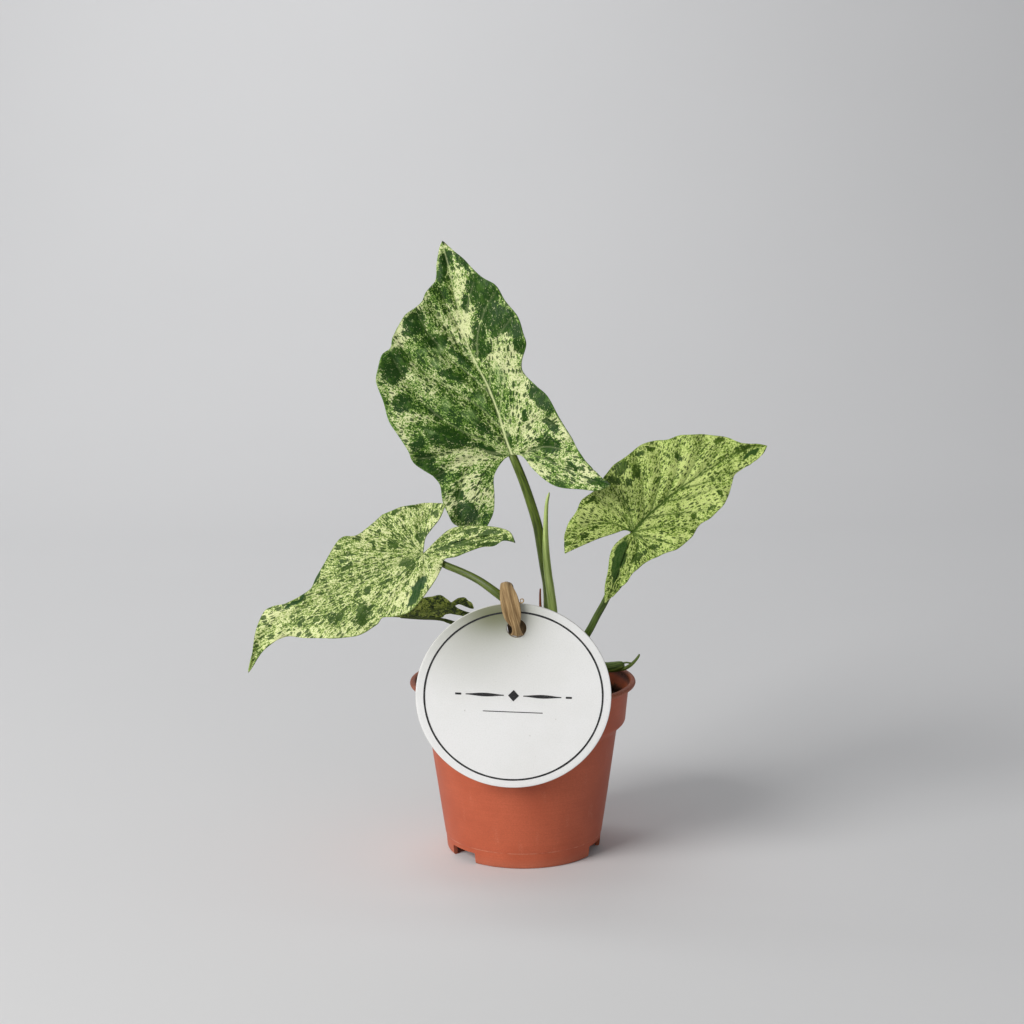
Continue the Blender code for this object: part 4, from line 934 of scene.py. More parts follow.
# %% [markdown]
# ## Stalks, crown and shoots
# A stalk is a ring of corners carried along a smooth line. Two directions square to the line are needed
# at each step; crossing the line's direction with one fixed side direction gives them, and works as long
# as the line never runs along that side. A young aroid's stalk isn't a plain rod: it has fine ribs, a
# shallow channel on its inner side, and its foot widens into a sheath that wraps the next stalk.

# %% Carry a ring along a line


def ring_along(path, radius, angle):
    """Rings round a line: centre + radius * (cos(angle) * across + sin(angle) * other)."""
    step = unit(np.gradient(path, axis=0))
    across = unit(np.cross(step, (0.0, 1.0, 0.0)))
    other = np.cross(across, step)
    return (path[:, None, :] + (radius * np.cos(angle))[..., None] * across[:, None, :]
            + (radius * np.sin(angle))[..., None] * other[:, None, :])


def circle(around):
    """Angles of a ring's corners, as one row."""
    return np.linspace(0, math.tau, around, endpoint=False)[None, :]


def closed_tube(rings):
    """Points and triangles of a tube whose two ends are drawn in to a point."""
    first = np.repeat(rings[:1].mean(axis=1, keepdims=True), rings.shape[1], axis=1)
    last = np.repeat(rings[-1:].mean(axis=1, keepdims=True), rings.shape[1], axis=1)
    whole = np.concatenate([first, rings, last])
    return whole, grid_faces(whole.shape[0], whole.shape[1], around=True)


def rounded(count, near, far):
    """Shares of full radius along a rod: quarter circles over near and far, in shares of its length."""
    s = np.linspace(0, 1, count)
    low = np.sqrt(np.clip(1 - (1 - np.clip(s / near, 0, 1)) ** 2, 0.0, 1))
    high = np.sqrt(np.clip(1 - (1 - np.clip((1 - s) / far, 0, 1)) ** 2, 0.0, 1))
    return np.clip(low * high, 0.05, 1.0)[:, None]


def unrolled(angle, run, reach=1.2):
    """Field that a striped finish reads: two numbers that go round the piece and one that runs along it."""
    return {"fibre": places(reach * np.cos(angle), reach * np.sin(angle), run)}


print("a tube of 10 rings of 8:", len(closed_tube(np.random.RandomState(1).rand(10, 8, 3))[1]), "triangles")

# %% Lines of the stalks, with a radius at each point
TALL_STALK = [(7.6, 1.0, 46.8, 2.0), (7.6, 0.9, 48.4, 2.0), (7.5, 0.0, 53.0, 1.9),
              (7.3, -1.0, 64.2, 1.6), (6.9, -1.0, 70.4, 1.45), (6.1, -1.0, 74.7, 1.35),
              (5.1, -1.0, 80.8, 1.3), (4.1, -1.0, 86.4, 1.25), (2.4, -1.0, 92.3, 1.2),
              (0.3, -1.0, 98.5, 1.15), (-1.5, -1.2, 103.0, 1.1), (-2.2, -1.5, 104.3, 0.6)]
LEFT_STALK = [(5.0, -3.0, 46.8, 1.4), (4.9, -4.5, 48.8, 1.4), (4.4, -10.0, 53.0, 1.35),
              (3.6, -18.5, 60.0, 1.3), (2.4, -26.0, 66.0, 1.2), (0.6, -29.2, 68.6, 1.15),
              (-1.2, -30.2, 69.9, 1.1), (-3.4, -30.4, 71.6, 1.1), (-6.6, -29.8, 74.0, 1.05),
              (-10.7, -27.8, 76.6, 0.95), (-14.9, -25.0, 78.3, 0.9), (-19.2, -21.5, 79.5, 0.88),
              (-23.0, -19.1, 81.0, 0.8), (-24.4, -19.4, 81.8, 0.45)]
RIGHT_STALK = [(11.6, -0.9, 46.8, 1.2), (11.7, -1.1, 48.0, 1.2), (13.3, -4.0, 52.5, 1.1),
               (17.0, -8.0, 59.3, 0.95), (19.3, -8.5, 63.8, 0.9), (21.6, -9.0, 68.2, 0.88),
               (25.5, -10.2, 77.4, 0.85), (27.6, -11.8, 83.8, 0.8), (28.0, -12.9, 85.6, 0.45)]
SMALL_STALK = [(4.0, 1.4, 46.8, 0.85), (3.8, 1.4, 48.0, 0.85), (1.0, -0.5, 51.8, 0.75),
               (-7.0, -5.0, 57.0, 0.65), (-13.0, -8.5, 60.2, 0.6), (-17.0, -9.8, 62.1, 0.55),
               (-19.4, -10.2, 63.0, 0.5), (-20.3, -10.4, 63.4, 0.35)]
SPEAR_LEAF = [(8.7, -2.7, 46.8, 1.2), (8.6, -2.8, 48.2, 1.25), (8.4, -3.4, 55.0, 1.3),
              (7.9, -4.1, 64.5, 1.25), (6.75, -3.95, 73.8, 1.08), (6.2, -3.6, 80.4, 0.9),
              (6.15, -3.3, 86.5, 0.62), (6.45, -3.2, 92.4, 0.42), (7.15, -3.0, 95.5, 0.25)]
CURLED_SHOOT = [(10.8, 3.3, 46.8, 1.15), (11.2, 3.5, 48.2, 1.2), (14.0, 5.0, 49.3, 1.2),
                (18.0, 6.6, 48.2, 1.25), (22.0, 6.9, 46.8, 1.4), (24.4, 6.6, 46.8, 1.5),
                (26.2, 6.3, 47.1, 1.4), (27.5, 6.1, 47.4, 1.0)]
SHOOT_TAIL = [(26.2, 5.7, 46.5, 0.5), (27.4, 5.6, 46.5, 0.5), (28.4, 5.6, 47.0, 0.5), (29.4, 5.5, 47.75, 0.46),
              (30.45, 5.4, 48.85, 0.38), (31.15, 5.4, 49.8, 0.32), (31.55, 5.4, 50.55, 0.2)]
SHOOT_STRAND = [(27.2, 5.6, 48.05, 0.24), (28.0, 5.5, 48.2, 0.22), (28.8, 5.5, 48.1, 0.22),
                (29.8, 5.4, 47.95, 0.24)]
# the small stalk runs on beside its blade, which it meets from behind
SMALL_RIB = [(-20.3, -10.6, 63.4, 0.42), (-22.4, -10.9, 63.75, 0.36), (-26.5, -10.6, 63.8, 0.28),
             (-31.7, -10.2, 64.0, 0.16)]
DRIED_SHEATH = [(4.93, -1.2, 62.05, 0.34), (4.83, -1.2, 63.95, 0.36), (4.73, -1.2, 65.95, 0.3),
                (4.71, -1.2, 68.15, 0.26), (4.78, -1.2, 69.85, 0.2)]

# raffia tie: centre line and half width across
TIE_PATH = [(-4.1, -31.0, 76.5, 1.35), (-4.0, -33.2, 75.7, 1.7), (-3.5, -34.9, 73.7, 2.2),
            (-3.0, -35.5, 71.4, 2.35), (-2.55, -35.3, 69.2, 2.15), (-2.1, -35.1, 67.6, 1.6),
            (-1.8, -34.9, 66.5, 1.1), (-1.6, -34.3, 65.1, 1.2), (-1.5, -33.4, 64.15, 1.6),
            (-1.4, -31.9, 64.5, 2.3), (-1.3, -30.6, 65.6, 2.6), (-1.5, -29.0, 66.9, 2.6),
            (-2.4, -27.8, 69.2, 2.1), (-3.4, -27.8, 72.2, 1.6), (-3.8, -28.9, 75.2, 1.5)]
RAFFIA_THREAD = [(-1.6, -34.9, 72.2, 0.17), (-1.0, -35.1, 72.4, 0.16), (-0.3, -35.2, 72.4, 0.15),
                 (0.1, -35.2, 72.85, 0.14), (-0.1, -35.2, 73.35, 0.13), (-0.6, -35.1, 73.25, 0.12),
                 (-0.7, -35.0, 72.8, 0.1), (-0.4, -35.0, 72.55, 0.08)]
RAFFIA_FRAY = [(-4.9, -34.4, 74.2, 0.1), (-5.3, -34.8, 73.3, 0.1), (-5.4, -35.1, 72.2, 0.08),
               (-5.1, -35.2, 71.2, 0.05)]

# %% [markdown]
# ## The stalks' finish
# Stalks are striped along their length, because their bundles of fibres show through the skin. A
# pattern that must follow a bent rod can't use plain object coordinates, so each rod carries its own:
# two that go round it and one that counts millimetres along it. Noise that is stretched a dozen times
# along the third gives the stripes. The same group, with other colours, serves the raffia and the
# dried sheath. Along its run behind the card, from the hole on, the raffia's colours are painted darker:
# painted shade.

# %% Node group for fibres along a rod
fibre_stripes, take, last = new_group(
    "fibre_stripes",
    {"Dark colour": "Color", "Light colour": "Color", "Stretch": "Float", "Scale": "Float",
     "Contrast": "Float"},
    {"Color": "Color", "Height": "Float"})
round_x, round_y, along = parts_of(carried_by(fibre_stripes, "fibre", "Vector"))
fibre = Output(add(fibre_stripes, "CombineXYZ", {0: round_x, 1: round_y, 2: along / take["Stretch"]}))
stripe = noise(fibre, take["Scale"], 4.0, 0.6)
half = take["Contrast"] * 0.5
share = step_between(stripe * 0.7 + noise(fibre, 0.5, 2.0) * 0.3, 0.5 - half, 0.5 + half)
fill(last, {"Color": blend_colours(share, take["Dark colour"], take["Light colour"]), "Height": stripe})
print("fibre group:", len(fibre_stripes.nodes), "nodes")


def fibre_finish(name, dark, light, roughness, stretch=12.0, scale=2.2, contrast=0.3, depth=0.0001, sheen=0.0,
                 tip=None):
    """Striped finish; tip gives two colours to turn to between two lengths along the rod."""
    finish, tree, shader = new_finish(name)
    dark, light = srgb(*dark), srgb(*light)
    if tip:
        dark_tip, light_tip, start, end = tip
        turned = step_between(parts_of(carried_by(tree, "fibre", "Vector"))[2], start, end)
        dark = blend_colours(turned, dark, srgb(*dark_tip))
        light = blend_colours(turned, light, srgb(*light_tip))
    stripes = use_group(tree, fibre_stripes, {"Dark colour": dark, "Light colour": light,
                                              "Stretch": stretch, "Scale": scale, "Contrast": contrast})
    fill(shader, {"Base Color": stripes["Color"], "Roughness": roughness, "Specular IOR Level": 0.35,
                  "Sheen Weight": sheen, "Normal": bumped(stripes["Height"], 0.5, depth)})
    return finish


stalk_finish = fibre_finish("stalk_green", (52, 68, 16), (106, 126, 42), 0.42)
olive_finish = fibre_finish("stalk_olive", (54, 68, 20), (96, 112, 40), 0.42)
shade_finish = fibre_finish("stalk_dark", (50, 68, 18), (92, 116, 42), 0.45)
spear_finish = fibre_finish("spear_green", (78, 104, 22), (138, 166, 60), 0.42, 12.0, 1.6, 0.36,
                            tip=((128, 150, 70), (188, 206, 126), 14.0, 27.0))
shoot_finish = fibre_finish("shoot_green", (56, 78, 22), (132, 156, 70), 0.46)
crown_finish = fibre_finish("crown_skin", (74, 66, 34), (132, 134, 70), 0.6, 4.0, 1.4)
sheath_finish = fibre_finish("dry_sheath", (112, 54, 34), (176, 104, 72), 0.75, 14.0, 3.0)
# painted shade: from the card's hole on, the raffia turns to darker colours along its run behind the card
raffia_finish = fibre_finish("raffia", (112, 84, 46), (188, 158, 112), 0.7, 14.0, 2.6, 0.38, 0.00045, 0.1,
                             tip=((58, 42, 22), (108, 84, 54), 15.0, 17.0))

# %% [markdown]
# ## Stalks that run into their blades
# A stalk doesn't stop at its blade: it goes on behind it as the raised midrib, getting thinner to the
# tip. So each stalk's line is carried on along the blade's back, and the radius falls along it.

# %% Stalks and midribs
RIBS = 8
CHANNEL_AT, CHANNEL_HALF = 1.5 * math.pi, 0.5
FOOT_REACH = 0.12


def rod_piece(name, line, finish, replaces, count, around, ribs, channel=0.0, foot=0.0):
    """Rod along a line of (x, y, z, radius): ribs and a shallow channel in its skin, and a widened foot."""
    path = smooth_line(line, count)
    share = np.linspace(0, 1, count + 1)[:, None]
    angle = circle(around)
    radius = path[:, 3:] * (1.0 + ribs * np.cos(RIBS * angle) * (1 - share)
                            - channel * np.exp(-((angle - CHANNEL_AT) / CHANNEL_HALF) ** 2)
                            + foot * np.exp(-(share / FOOT_REACH) ** 2) * (1 + 0.25 * np.cos(angle)))
    rings, faces = closed_tube(ring_along(path[:, :3], radius * rounded(count + 1, 0.01, 0.01), angle))
    run = np.pad(run_along(path), 1, mode="edge")
    return put_piece(name, rings, faces, finish, replaces, unrolled(angle, run[:, None]))


def back_rib(leaf, reach, start, end, behind=0.06):
    """Line along the back of a blade's midrib, out to a share of its length, thinning from start to end."""
    a = np.linspace(0.03, reach, 9) * leaf["length"]
    rib = np.array(leaf["midrib"], dtype=float)
    b = np.interp(a, rib[:, 0], rib[:, 1])
    zero = np.zeros(len(a))
    x, y, z = place_of_blade(leaf, a, blade_depth(leaf, a, b, zero, zero, zero, np.ones(len(a))), b)
    radius = np.linspace(start, end, len(a))
    return np.stack([x, y + behind + 0.85 * radius, z, radius], axis=1)


def with_foot(line, depth=2.6):
    """Carry a stalk's foot straight down into the crown."""
    return np.vstack([np.array(line[0]) - [0, 0, depth, 0], line[1:]])


for key, leaf, line, finish, reach, start, foot in (
        ("tall", TALL_LEAF, TALL_STALK, stalk_finish, 0.9, 1.0, 0.35),
        ("left", LEFT_LEAF, LEFT_STALK, olive_finish, 0.85, 0.8, 0.2),
        ("right", RIGHT_LEAF, RIGHT_STALK, shade_finish, 0.85, 0.75, 0.2),
        ("small", SMALL_LEAF, SMALL_STALK, olive_finish, None, None, 0.1)):
    rib = back_rib(leaf, reach, start, 0.16) if reach else SMALL_RIB
    line = np.vstack([with_foot(line)[:-1], rib])
    piece = rod_piece(key + "_stalk", line, finish, (key + "_leaf_stalk",), 150, 24, 0.03, 0.12, foot)
    print(piece.name, len(piece.data.polygons), "triangles")

# %% Rolled spear leaf and dried sheath


def rolled_leaf(name, line, finish, replaces, count=110, around=40, wraps=1.35):
    """Young leaf rolled on itself: a spiral section, radius falling a little round its turn, up a line."""
    path = smooth_line(line, count)
    angle = np.linspace(0, math.tau * wraps, around)[None, :]
    twist = 2.2 * np.linspace(0, 1, count + 1)[:, None]
    skin = path[:, 3:] * (1.0 - 0.22 * angle / angle.max()) * rounded(count + 1, 0.01, 0.03)
    sheet = ring_along(path[:, :3], skin, angle + twist)
    piece = put_piece(name, sheet, grid_faces(count + 1, around), finish, replaces,
                      unrolled(angle, run_along(path)[:, None]))
    return thicken(piece, 0.16)


rolled_leaf("spear", with_foot(SPEAR_LEAF), spear_finish, ("spear_leaf",))
rolled_leaf("shoot", CURLED_SHOOT, shoot_finish, ("curled_shoot",), 130, 36, 1.25)
rod_piece("shoot_tail", SHOOT_TAIL, shoot_finish, (), 60, 16, 0.06, 0.3)
rod_piece("shoot_strand", SHOOT_STRAND, shoot_finish, (), 60, 12, 0.12, 0.3)
rod_piece("sheath", DRIED_SHEATH, sheath_finish, ("dried_sheath",), 40, 12, 0.12, 0.3)
print("spear and sheath made")

# %% [markdown]
# ## The crown
# All the stalks rise from one short stem, ringed by the scars of older leaves. Its top is a dome with a
# hollow between the stalks' feet, and a few papery scraps of old sheath stand round it. The hollow is
# made by lowering each corner by its distance from the nearest foot.

# %% Crown with leaf scars and scraps of sheath
CROWN = (7.8, 0.0)
CROWN_RADIUS, CROWN_FOOT, CROWN_SHOULDER = 5.05, 29.6, 45.4
# each foot: x, y and radius of a stalk or shoot where it enters the crown
FEET = np.array([[7.6, 1.0, 2.0], [5.0, -3.0, 1.4], [11.6, -0.9, 1.2], [4.0, 1.4, 0.85], [9.2, -2.3, 1.1],
                 [10.8, 3.3, 1.15]])
# each scar: its height and its half width
SCARS = ((37.5, 0.35), (41.2, 0.3), (43.6, 0.25))


def crown_stem(rows=70, around=120, dome_rows=26):
    """Ribbed stem with ring scars; its domed top falls with the distance from the nearest stalk's foot."""
    angle = circle(around)
    z = np.linspace(30.0, CROWN_SHOULDER, rows)[:, None]
    scar = sum(np.exp(-((z - height) / half) ** 2) for height, half in SCARS)
    radius = CROWN_RADIUS + 0.08 * np.cos(26 * angle + z) - 0.16 * scar
    radius = radius - 0.35 * np.clip((33.0 - z) / 3.0, 0, 1) ** 2
    share = np.linspace(0, 1, dome_rows)[:, None]
    top_z = np.broadcast_to(CROWN_SHOULDER + 0.75 * np.sqrt(np.clip(1 - (1 - share) ** 2, 0, 1)),
                            (dome_rows, around))
    top_r = CROWN_RADIUS * (1 - share) + 0.08 * np.cos(26 * angle + CROWN_SHOULDER) * (1 - share)
    r = np.concatenate([0 * radius[:1], radius, top_r[1:]])
    z = np.concatenate([np.full((1, around), CROWN_FOOT), np.broadcast_to(z, (rows, around)), top_z[1:]])
    x, y = CROWN[0] + r * np.cos(angle), CROWN[1] + r * np.sin(angle)
    gap = np.min([np.hypot(x - fx, y - fy) - fr for fx, fy, fr in FEET], axis=0)
    dome = np.clip((z - 45.0) / 0.5, 0, 1)
    z = z - dome * 0.9 * np.clip(gap, 0, 1.6) + dome * 0.25
    wavy = 0.1 * lumps(places(x, y, z), 0.5, 2)
    points = places(x + wavy * np.cos(angle), y + wavy * np.sin(angle), z)
    return points, grid_faces(len(r), around, around=True), unrolled(angle, z, 2)


points, faces, fields = crown_stem()
put_piece("crown", points, faces, crown_finish, ("crown_stem",), fields)


def sheath_scrap(name, start, stop, low, high, lean, seed):
    """Papery shell: part of a cone about the crown that narrows to a ragged tip; wavy along its edges."""
    up = np.linspace(0, 1, 40)[:, None]
    across = np.linspace(-1, 1, 22)[None, :]
    middle, half = 0.5 * (start + stop), 0.5 * (stop - start)
    width = half * (1 - up ** 1.6) ** 0.7 + 0.02
    angle = np.radians(middle + across * width)
    z = low + (high - low) * up * (1 - 0.16 * np.abs(across)) + 0 * angle
    radius = 5.2 + lean * up ** 2 + 0.14 * lumps(places(angle * 5, up * 4, seed), 1.3, seed)
    sheet = places(CROWN[0] + radius * np.cos(angle), CROWN[1] + radius * np.sin(angle), z)
    piece = put_piece(name, sheet, grid_faces(40, 22), sheath_finish, (), unrolled(angle, z, 5))
    return thicken(piece, 0.1)


sheath_scrap("scrap_back", 62, 128, 41.0, 49.2, 0.2, 1)
sheath_scrap("scrap_side", 150, 205, 41.0, 46.8, 0.25, 2)
sheath_scrap("scrap_front", 255, 308, 41.0, 47.4, 0.2, 3)
print("crown and three scraps made")

# %% [markdown]
# ## The pot's surface
# A nursery pot is thin moulded plastic: a rolled lip, a collar that lets pots stack, a tapered wall, and
# a foot ring with drain notches. The profile is turned round the axis, and two things keep it from
# looking machined on a lathe: each corner is softened in small steps, and the wall bows in and out by a
# few hundredths of a millimetre. The notches need no cutting: inside a notch, each corner lower than the
# notch's roof is lifted to the roof.

# %% Turned pot with notched foot
LIP, COLLAR_TOP, COLLAR_FOOT, BODY_TOP, BASE = 30.0, 28.1, 27.3, 25.1, 20.5
HEIGHT, COLLAR_Z, WALL, FLOOR_LOW, FLOOR_HIGH = 45.5, 34.6, 1.0, 3.2, 4.4
NOTCHES = np.radians([-51.0, 69.0, 189.0])
NOTCH_HALF, NOTCH_ROOF, NOTCH_CORNER = 4.6, 2.8, 0.4
CORNER_REACH = 0.16
OUTER = [(LIP - 1.1, HEIGHT), (LIP - 0.3, HEIGHT - 0.1), (LIP, HEIGHT - 0.5), (LIP - 0.05, HEIGHT - 1.0),
         (LIP - 0.5, HEIGHT - 1.35), (COLLAR_TOP + 0.4, HEIGHT - 1.45), (COLLAR_TOP + 0.05, HEIGHT - 1.9),
         (COLLAR_TOP, HEIGHT - 2.5), (COLLAR_FOOT, COLLAR_Z + 0.3), (COLLAR_FOOT - 0.25, COLLAR_Z - 0.2),
         (BODY_TOP + 0.3, COLLAR_Z - 1.8), (BODY_TOP, COLLAR_Z - 2.3), (BASE + 0.55, FLOOR_HIGH - 0.1),
         (BASE + 0.4, FLOOR_HIGH - 0.3), (BASE, 0.6), (BASE - 0.2, 0.15), (BASE - 0.5, 0.0),
         (BASE - 1.2, 0.0), (BASE - 0.9, FLOOR_LOW - 0.1), (BASE - 1.9, FLOOR_LOW), (0.0, FLOOR_LOW)]
INNER = [(0.0, FLOOR_HIGH), (BASE - 1.2, FLOOR_HIGH), (BASE - 0.6, FLOOR_HIGH + 0.5),
         (BODY_TOP - WALL, COLLAR_Z - 2.1), (BODY_TOP - WALL + 0.2, COLLAR_Z - 1.4),
         (COLLAR_FOOT - WALL, COLLAR_Z + 0.4), (COLLAR_TOP - WALL, HEIGHT - 4.5),
         (COLLAR_TOP - WALL + 0.75, HEIGHT - 2.2), (LIP - 1.75, HEIGHT - 1.3), (LIP - 1.6, HEIGHT - 0.5),
         (LIP - 1.45, HEIGHT - 0.15), (LIP - 1.1, HEIGHT)]


def softened(line, reach):
    """Replace each corner of a line by two nearby points, twice, so that it turns in small steps."""
    p = np.asarray(line, dtype=float)
    for share in (1.0, 0.4):
        step = np.linalg.norm(np.diff(p, axis=0), axis=1)
        back = (np.minimum(reach * share, 0.33 * step[:-1]) / step[:-1])[:, None]
        on = (np.minimum(reach * share, 0.33 * step[1:]) / step[1:])[:, None]
        pair = np.stack([p[1:-1] + (p[:-2] - p[1:-1]) * back, p[1:-1] + (p[2:] - p[1:-1]) * on], axis=1)
        p = np.vstack([p[:1], pair.reshape(-1, p.shape[1]), p[-1:]])
    return p


def filled(line, longest):
    """Add points along a line so that no step is longer than longest."""
    pieces = [np.linspace(a, b, max(1, math.ceil(np.linalg.norm(b - a) / longest)), endpoint=False)
              for a, b in zip(line[:-1], line[1:])]
    return np.vstack(pieces + [line[-1:]])


def notch_angles(columns=300):
    """Angles of the pot's columns: even ones, with extra pairs on either side of each notch's edges."""
    fine = np.array([4.0, 4.2, 4.3, 4.4, 4.5, 4.59, 4.61, 4.8])
    near = np.arcsin(np.concatenate([-fine[::-1], fine]) / BASE)
    even = np.linspace(0, math.tau, columns, endpoint=False)
    apart = np.min([np.abs(np.angle(np.exp(1j * (even - n)))) for n in NOTCHES], axis=0)
    even = even[np.abs(apart - math.asin(4.4 / BASE)) > math.asin(0.5 / BASE)]
    return np.sort(np.concatenate([even, *[(n + near) % math.tau for n in NOTCHES]]))


def pot_surface():
    """Turn the profile: x = r sin, y = -r cos of the column's angle, measured from the front."""
    outer_line = filled(softened(OUTER, CORNER_REACH), 1.3)
    line = np.vstack([outer_line, filled(softened(INNER, CORNER_REACH), 1.6)])
    angle = notch_angles()[None, :]
    r, z = line[:, :1], line[:, 1:]
    near = np.clip(r, 18.0, 21.2)
    widen = np.arcsin(NOTCH_HALF / near) / math.asin(NOTCH_HALF / BASE) - 1
    off = np.angle(np.exp(1j * (angle[..., None] - NOTCHES)))
    off = np.take_along_axis(off, np.abs(off).argmin(axis=-1)[..., None], axis=-1)[..., 0]
    fade = np.clip((math.radians(38) - np.abs(off)) / math.radians(20), 0, 1)
    turned = angle + off * widen * fade
    side = np.abs(near * np.sin(off * (1 + widen * fade)))
    past = np.clip(side - NOTCH_HALF + NOTCH_CORNER, 0, None)
    corner = np.sqrt(np.clip(NOTCH_CORNER ** 2 - past ** 2, 0, None))
    roof = np.where((side < NOTCH_HALF) & (np.abs(off) < 0.6), NOTCH_ROOF - NOTCH_CORNER + corner, 0.0)
    lifted = (z < roof) & (z < FLOOR_LOW - 0.05)
    r = np.where(lifted, np.clip(r, BASE - 0.92, None), r + 0 * angle)
    z = np.where(lifted, roof, z + 0 * angle)
    place = places(30 * np.cos(turned), 30 * np.sin(turned), z)
    bow = 0.05 * lumps(place, 0.06, 4) + 0.018 * lumps(place, 0.35, 5) - 0.06
    r = np.clip(r + bow * np.clip(z / 3.0, 0, 1) * np.clip(r / 5, 0, 1), 0, None)
    outside = np.zeros(r.shape)
    outside[:len(outer_line)] = 1.0
    fields = {"skin": places(BASE * np.sin(turned), BASE * np.cos(turned), z), "outside": outside}
    points = places(r * np.sin(turned), -r * np.cos(turned), z)
    return points, grid_faces(len(line), angle.shape[1], around=True), fields


points, faces, fields = pot_surface()
print("pot:", points[..., 0].size, "corners; lowest", points[..., 2].min(), "highest", points[..., 2].max())

# %% [markdown]
# ## The pot's finish
# The plastic is a satin terracotta. Up close it has cloudy colour from the moulding, a fine grain, faint
# rings round it, a few pale scuffs and dust on the lip. Inside, the wall is darker and more orange towards
# the soil, with dark specks near it and a dark band just under the lip. All of it is noise read at the
# corner's place unrolled round the pot, which keeps the rings level.

# %% Finish of the pot
pot_finish, tree, shader = new_finish("terracotta_plastic")
skin = carried_by(tree, "skin", "Vector")
within = 1.0 - carried_by(tree, "outside")
high = parts_of(skin)[2]
cloud = noise(skin, 0.07, 3.0)
grain = noise(skin, 2.6, 4.0, 0.6)
rings = noise(skin, 1.0, 2.0, 0.5, (0.03, 0.03, 3.5))
scuffed = noise(skin, 0.5, 2.0, 0.5, (1.0, 1.0, 0.25))
speck = noise(skin, 1.9, 5.0, 0.75)
scuff = step_between(scuffed, 0.62, 0.74) * step_between(noise(skin, 5.0, 1.0), 0.5, 0.7)
lip = step_between(high, HEIGHT - 1.7, HEIGHT - 0.6)
dust = lip * step_between(speck, 0.42, 0.6)
# painted highlight: a pale broken line along the small ledge above the foot
ledge_highlight = step_between(maths("ABSOLUTE", high - 4.2), 0.08, 0.2, 0.4, 0.0) * step_between(scuffed, 0.4, 0.62)
foot = step_between(high, 0.1, 3.4, 0.35, 0.0) * speck
# inside: the wall darker and more orange, the more so towards the soil; dark specks near the soil; a dark band
# just under the lip
inner_tint = step_between(high + speck * 6.0, 42.0, 47.5, 0.85, 0.55)
near_soil_dark = step_between(high + speck * 5.0, 43.2, 44.2, 0.9, 0.0)
under_lip_dark = step_between(high, HEIGHT - 2.6, HEIGHT - 1.4) * step_between(high, HEIGHT - 0.9, HEIGHT - 0.2, 1.0, 0.0)
under_lip_dark = under_lip_dark * step_between(speck, 0.3, 0.6, 0.5, 0.95)
tint = layered(
    srgb(178, 84, 54),
    (step_between(cloud, 0.3, 0.7), srgb(198, 100, 68)),
    (step_between(rings, 0.35, 0.65, 0.0, 0.25), srgb(176, 84, 54)),
    (step_between(grain, 0.3, 0.72, 0.35, 0.0), srgb(158, 74, 48)),
    (scuff * 0.35, srgb(222, 150, 122)),
    (lip * 0.75, srgb(142, 74, 50)),
    (dust * 0.5, srgb(184, 128, 104)),
    (ledge_highlight, srgb(226, 156, 126)),
    (foot, srgb(170, 132, 108)),
    (within * inner_tint, srgb(146, 66, 16)),
    (within * near_soil_dark, srgb(44, 34, 18)),
    (within * under_lip_dark, srgb(62, 32, 16)))
fill(shader, {"Base Color": tint, "Roughness": 0.42 + grain * 0.14 + dust * 0.25, "Specular IOR Level": 0.35,
              "Normal": bumped(grain * 0.5 + rings * 0.3 + dust, 0.4, 0.00006)})
pot = put_piece("pot_shell", points, faces, pot_finish, ("pot",), fields)
pot.data.set_sharp_from_angle(angle=math.radians(38))
print(pot.name, len(pot.data.polygons), "triangles")

# %% [markdown]
# ## Potting soil
# Potting mix is dark peat with crumbs, bark, fibres and a few pale grains. The surface is a disc of
# corners raised by three sizes of lumps, closed below by the old soil's sides. Hundreds of crumbs are one
# mesh: a little ball is repeated, squashed and roughened for each crumb with whole-array sums, and each
# crumb carries a number that the finish turns into its colour.

# %% Soil
SOIL_TOP = 39.5
SOIL_RADIUS = 26.0
# the closed underside, from the rim inward: radius and height of each ring
SOIL_UNDER = np.array([[25.95, 36.0], [24.0, 33.0], [23.75, 32.2], [19.2, 4.8], [0.0, 4.72]])


def soil_height(x, y):
    """Dome plus lumps of 6, 2 and 0.7 millimetres, a little heap round the crown and a bank at one side."""
    dome = np.interp(np.hypot(x, y), [0, 9, 16, 22, 26], [1.0, 0.9, 0.4, -0.1, -0.5])
    place = places(x, y, 0.0)
    heap = 0.9 * np.exp(-(np.clip(np.hypot(x - CROWN[0], y - CROWN[1]) - 5.0, 0, None) / 1.6) ** 2)
    rough = 0.75 * lumps(place, 0.17, 11) + 0.5 * lumps(place, 0.5, 12) + 0.28 * lumps(place, 1.4, 13)
    bank = 1.9 * np.exp(-((x - 23.0) / 5.0) ** 2 - ((y - 9.0) / 8.0) ** 2)
    return SOIL_TOP - 0.3 + dome + heap + bank + rough


def soil_surface(rings=120, around=300):
    """Disc of rings out to the pot's wall, then down the sides and in under the soil."""
    r = SOIL_RADIUS * np.linspace(0, 1, rings)[:, None] ** 0.9
    angle = circle(around)
    radius = np.concatenate([r, SOIL_UNDER[:, :1]]) + 0 * angle
    x, y = radius * np.cos(angle), radius * np.sin(angle)
    under = np.broadcast_to(SOIL_UNDER[:, 1:], (len(SOIL_UNDER), around))
    z = np.concatenate([soil_height(x[:rings], y[:rings]), under])
    return places(x, y, z), grid_faces(len(z), around, around=True)


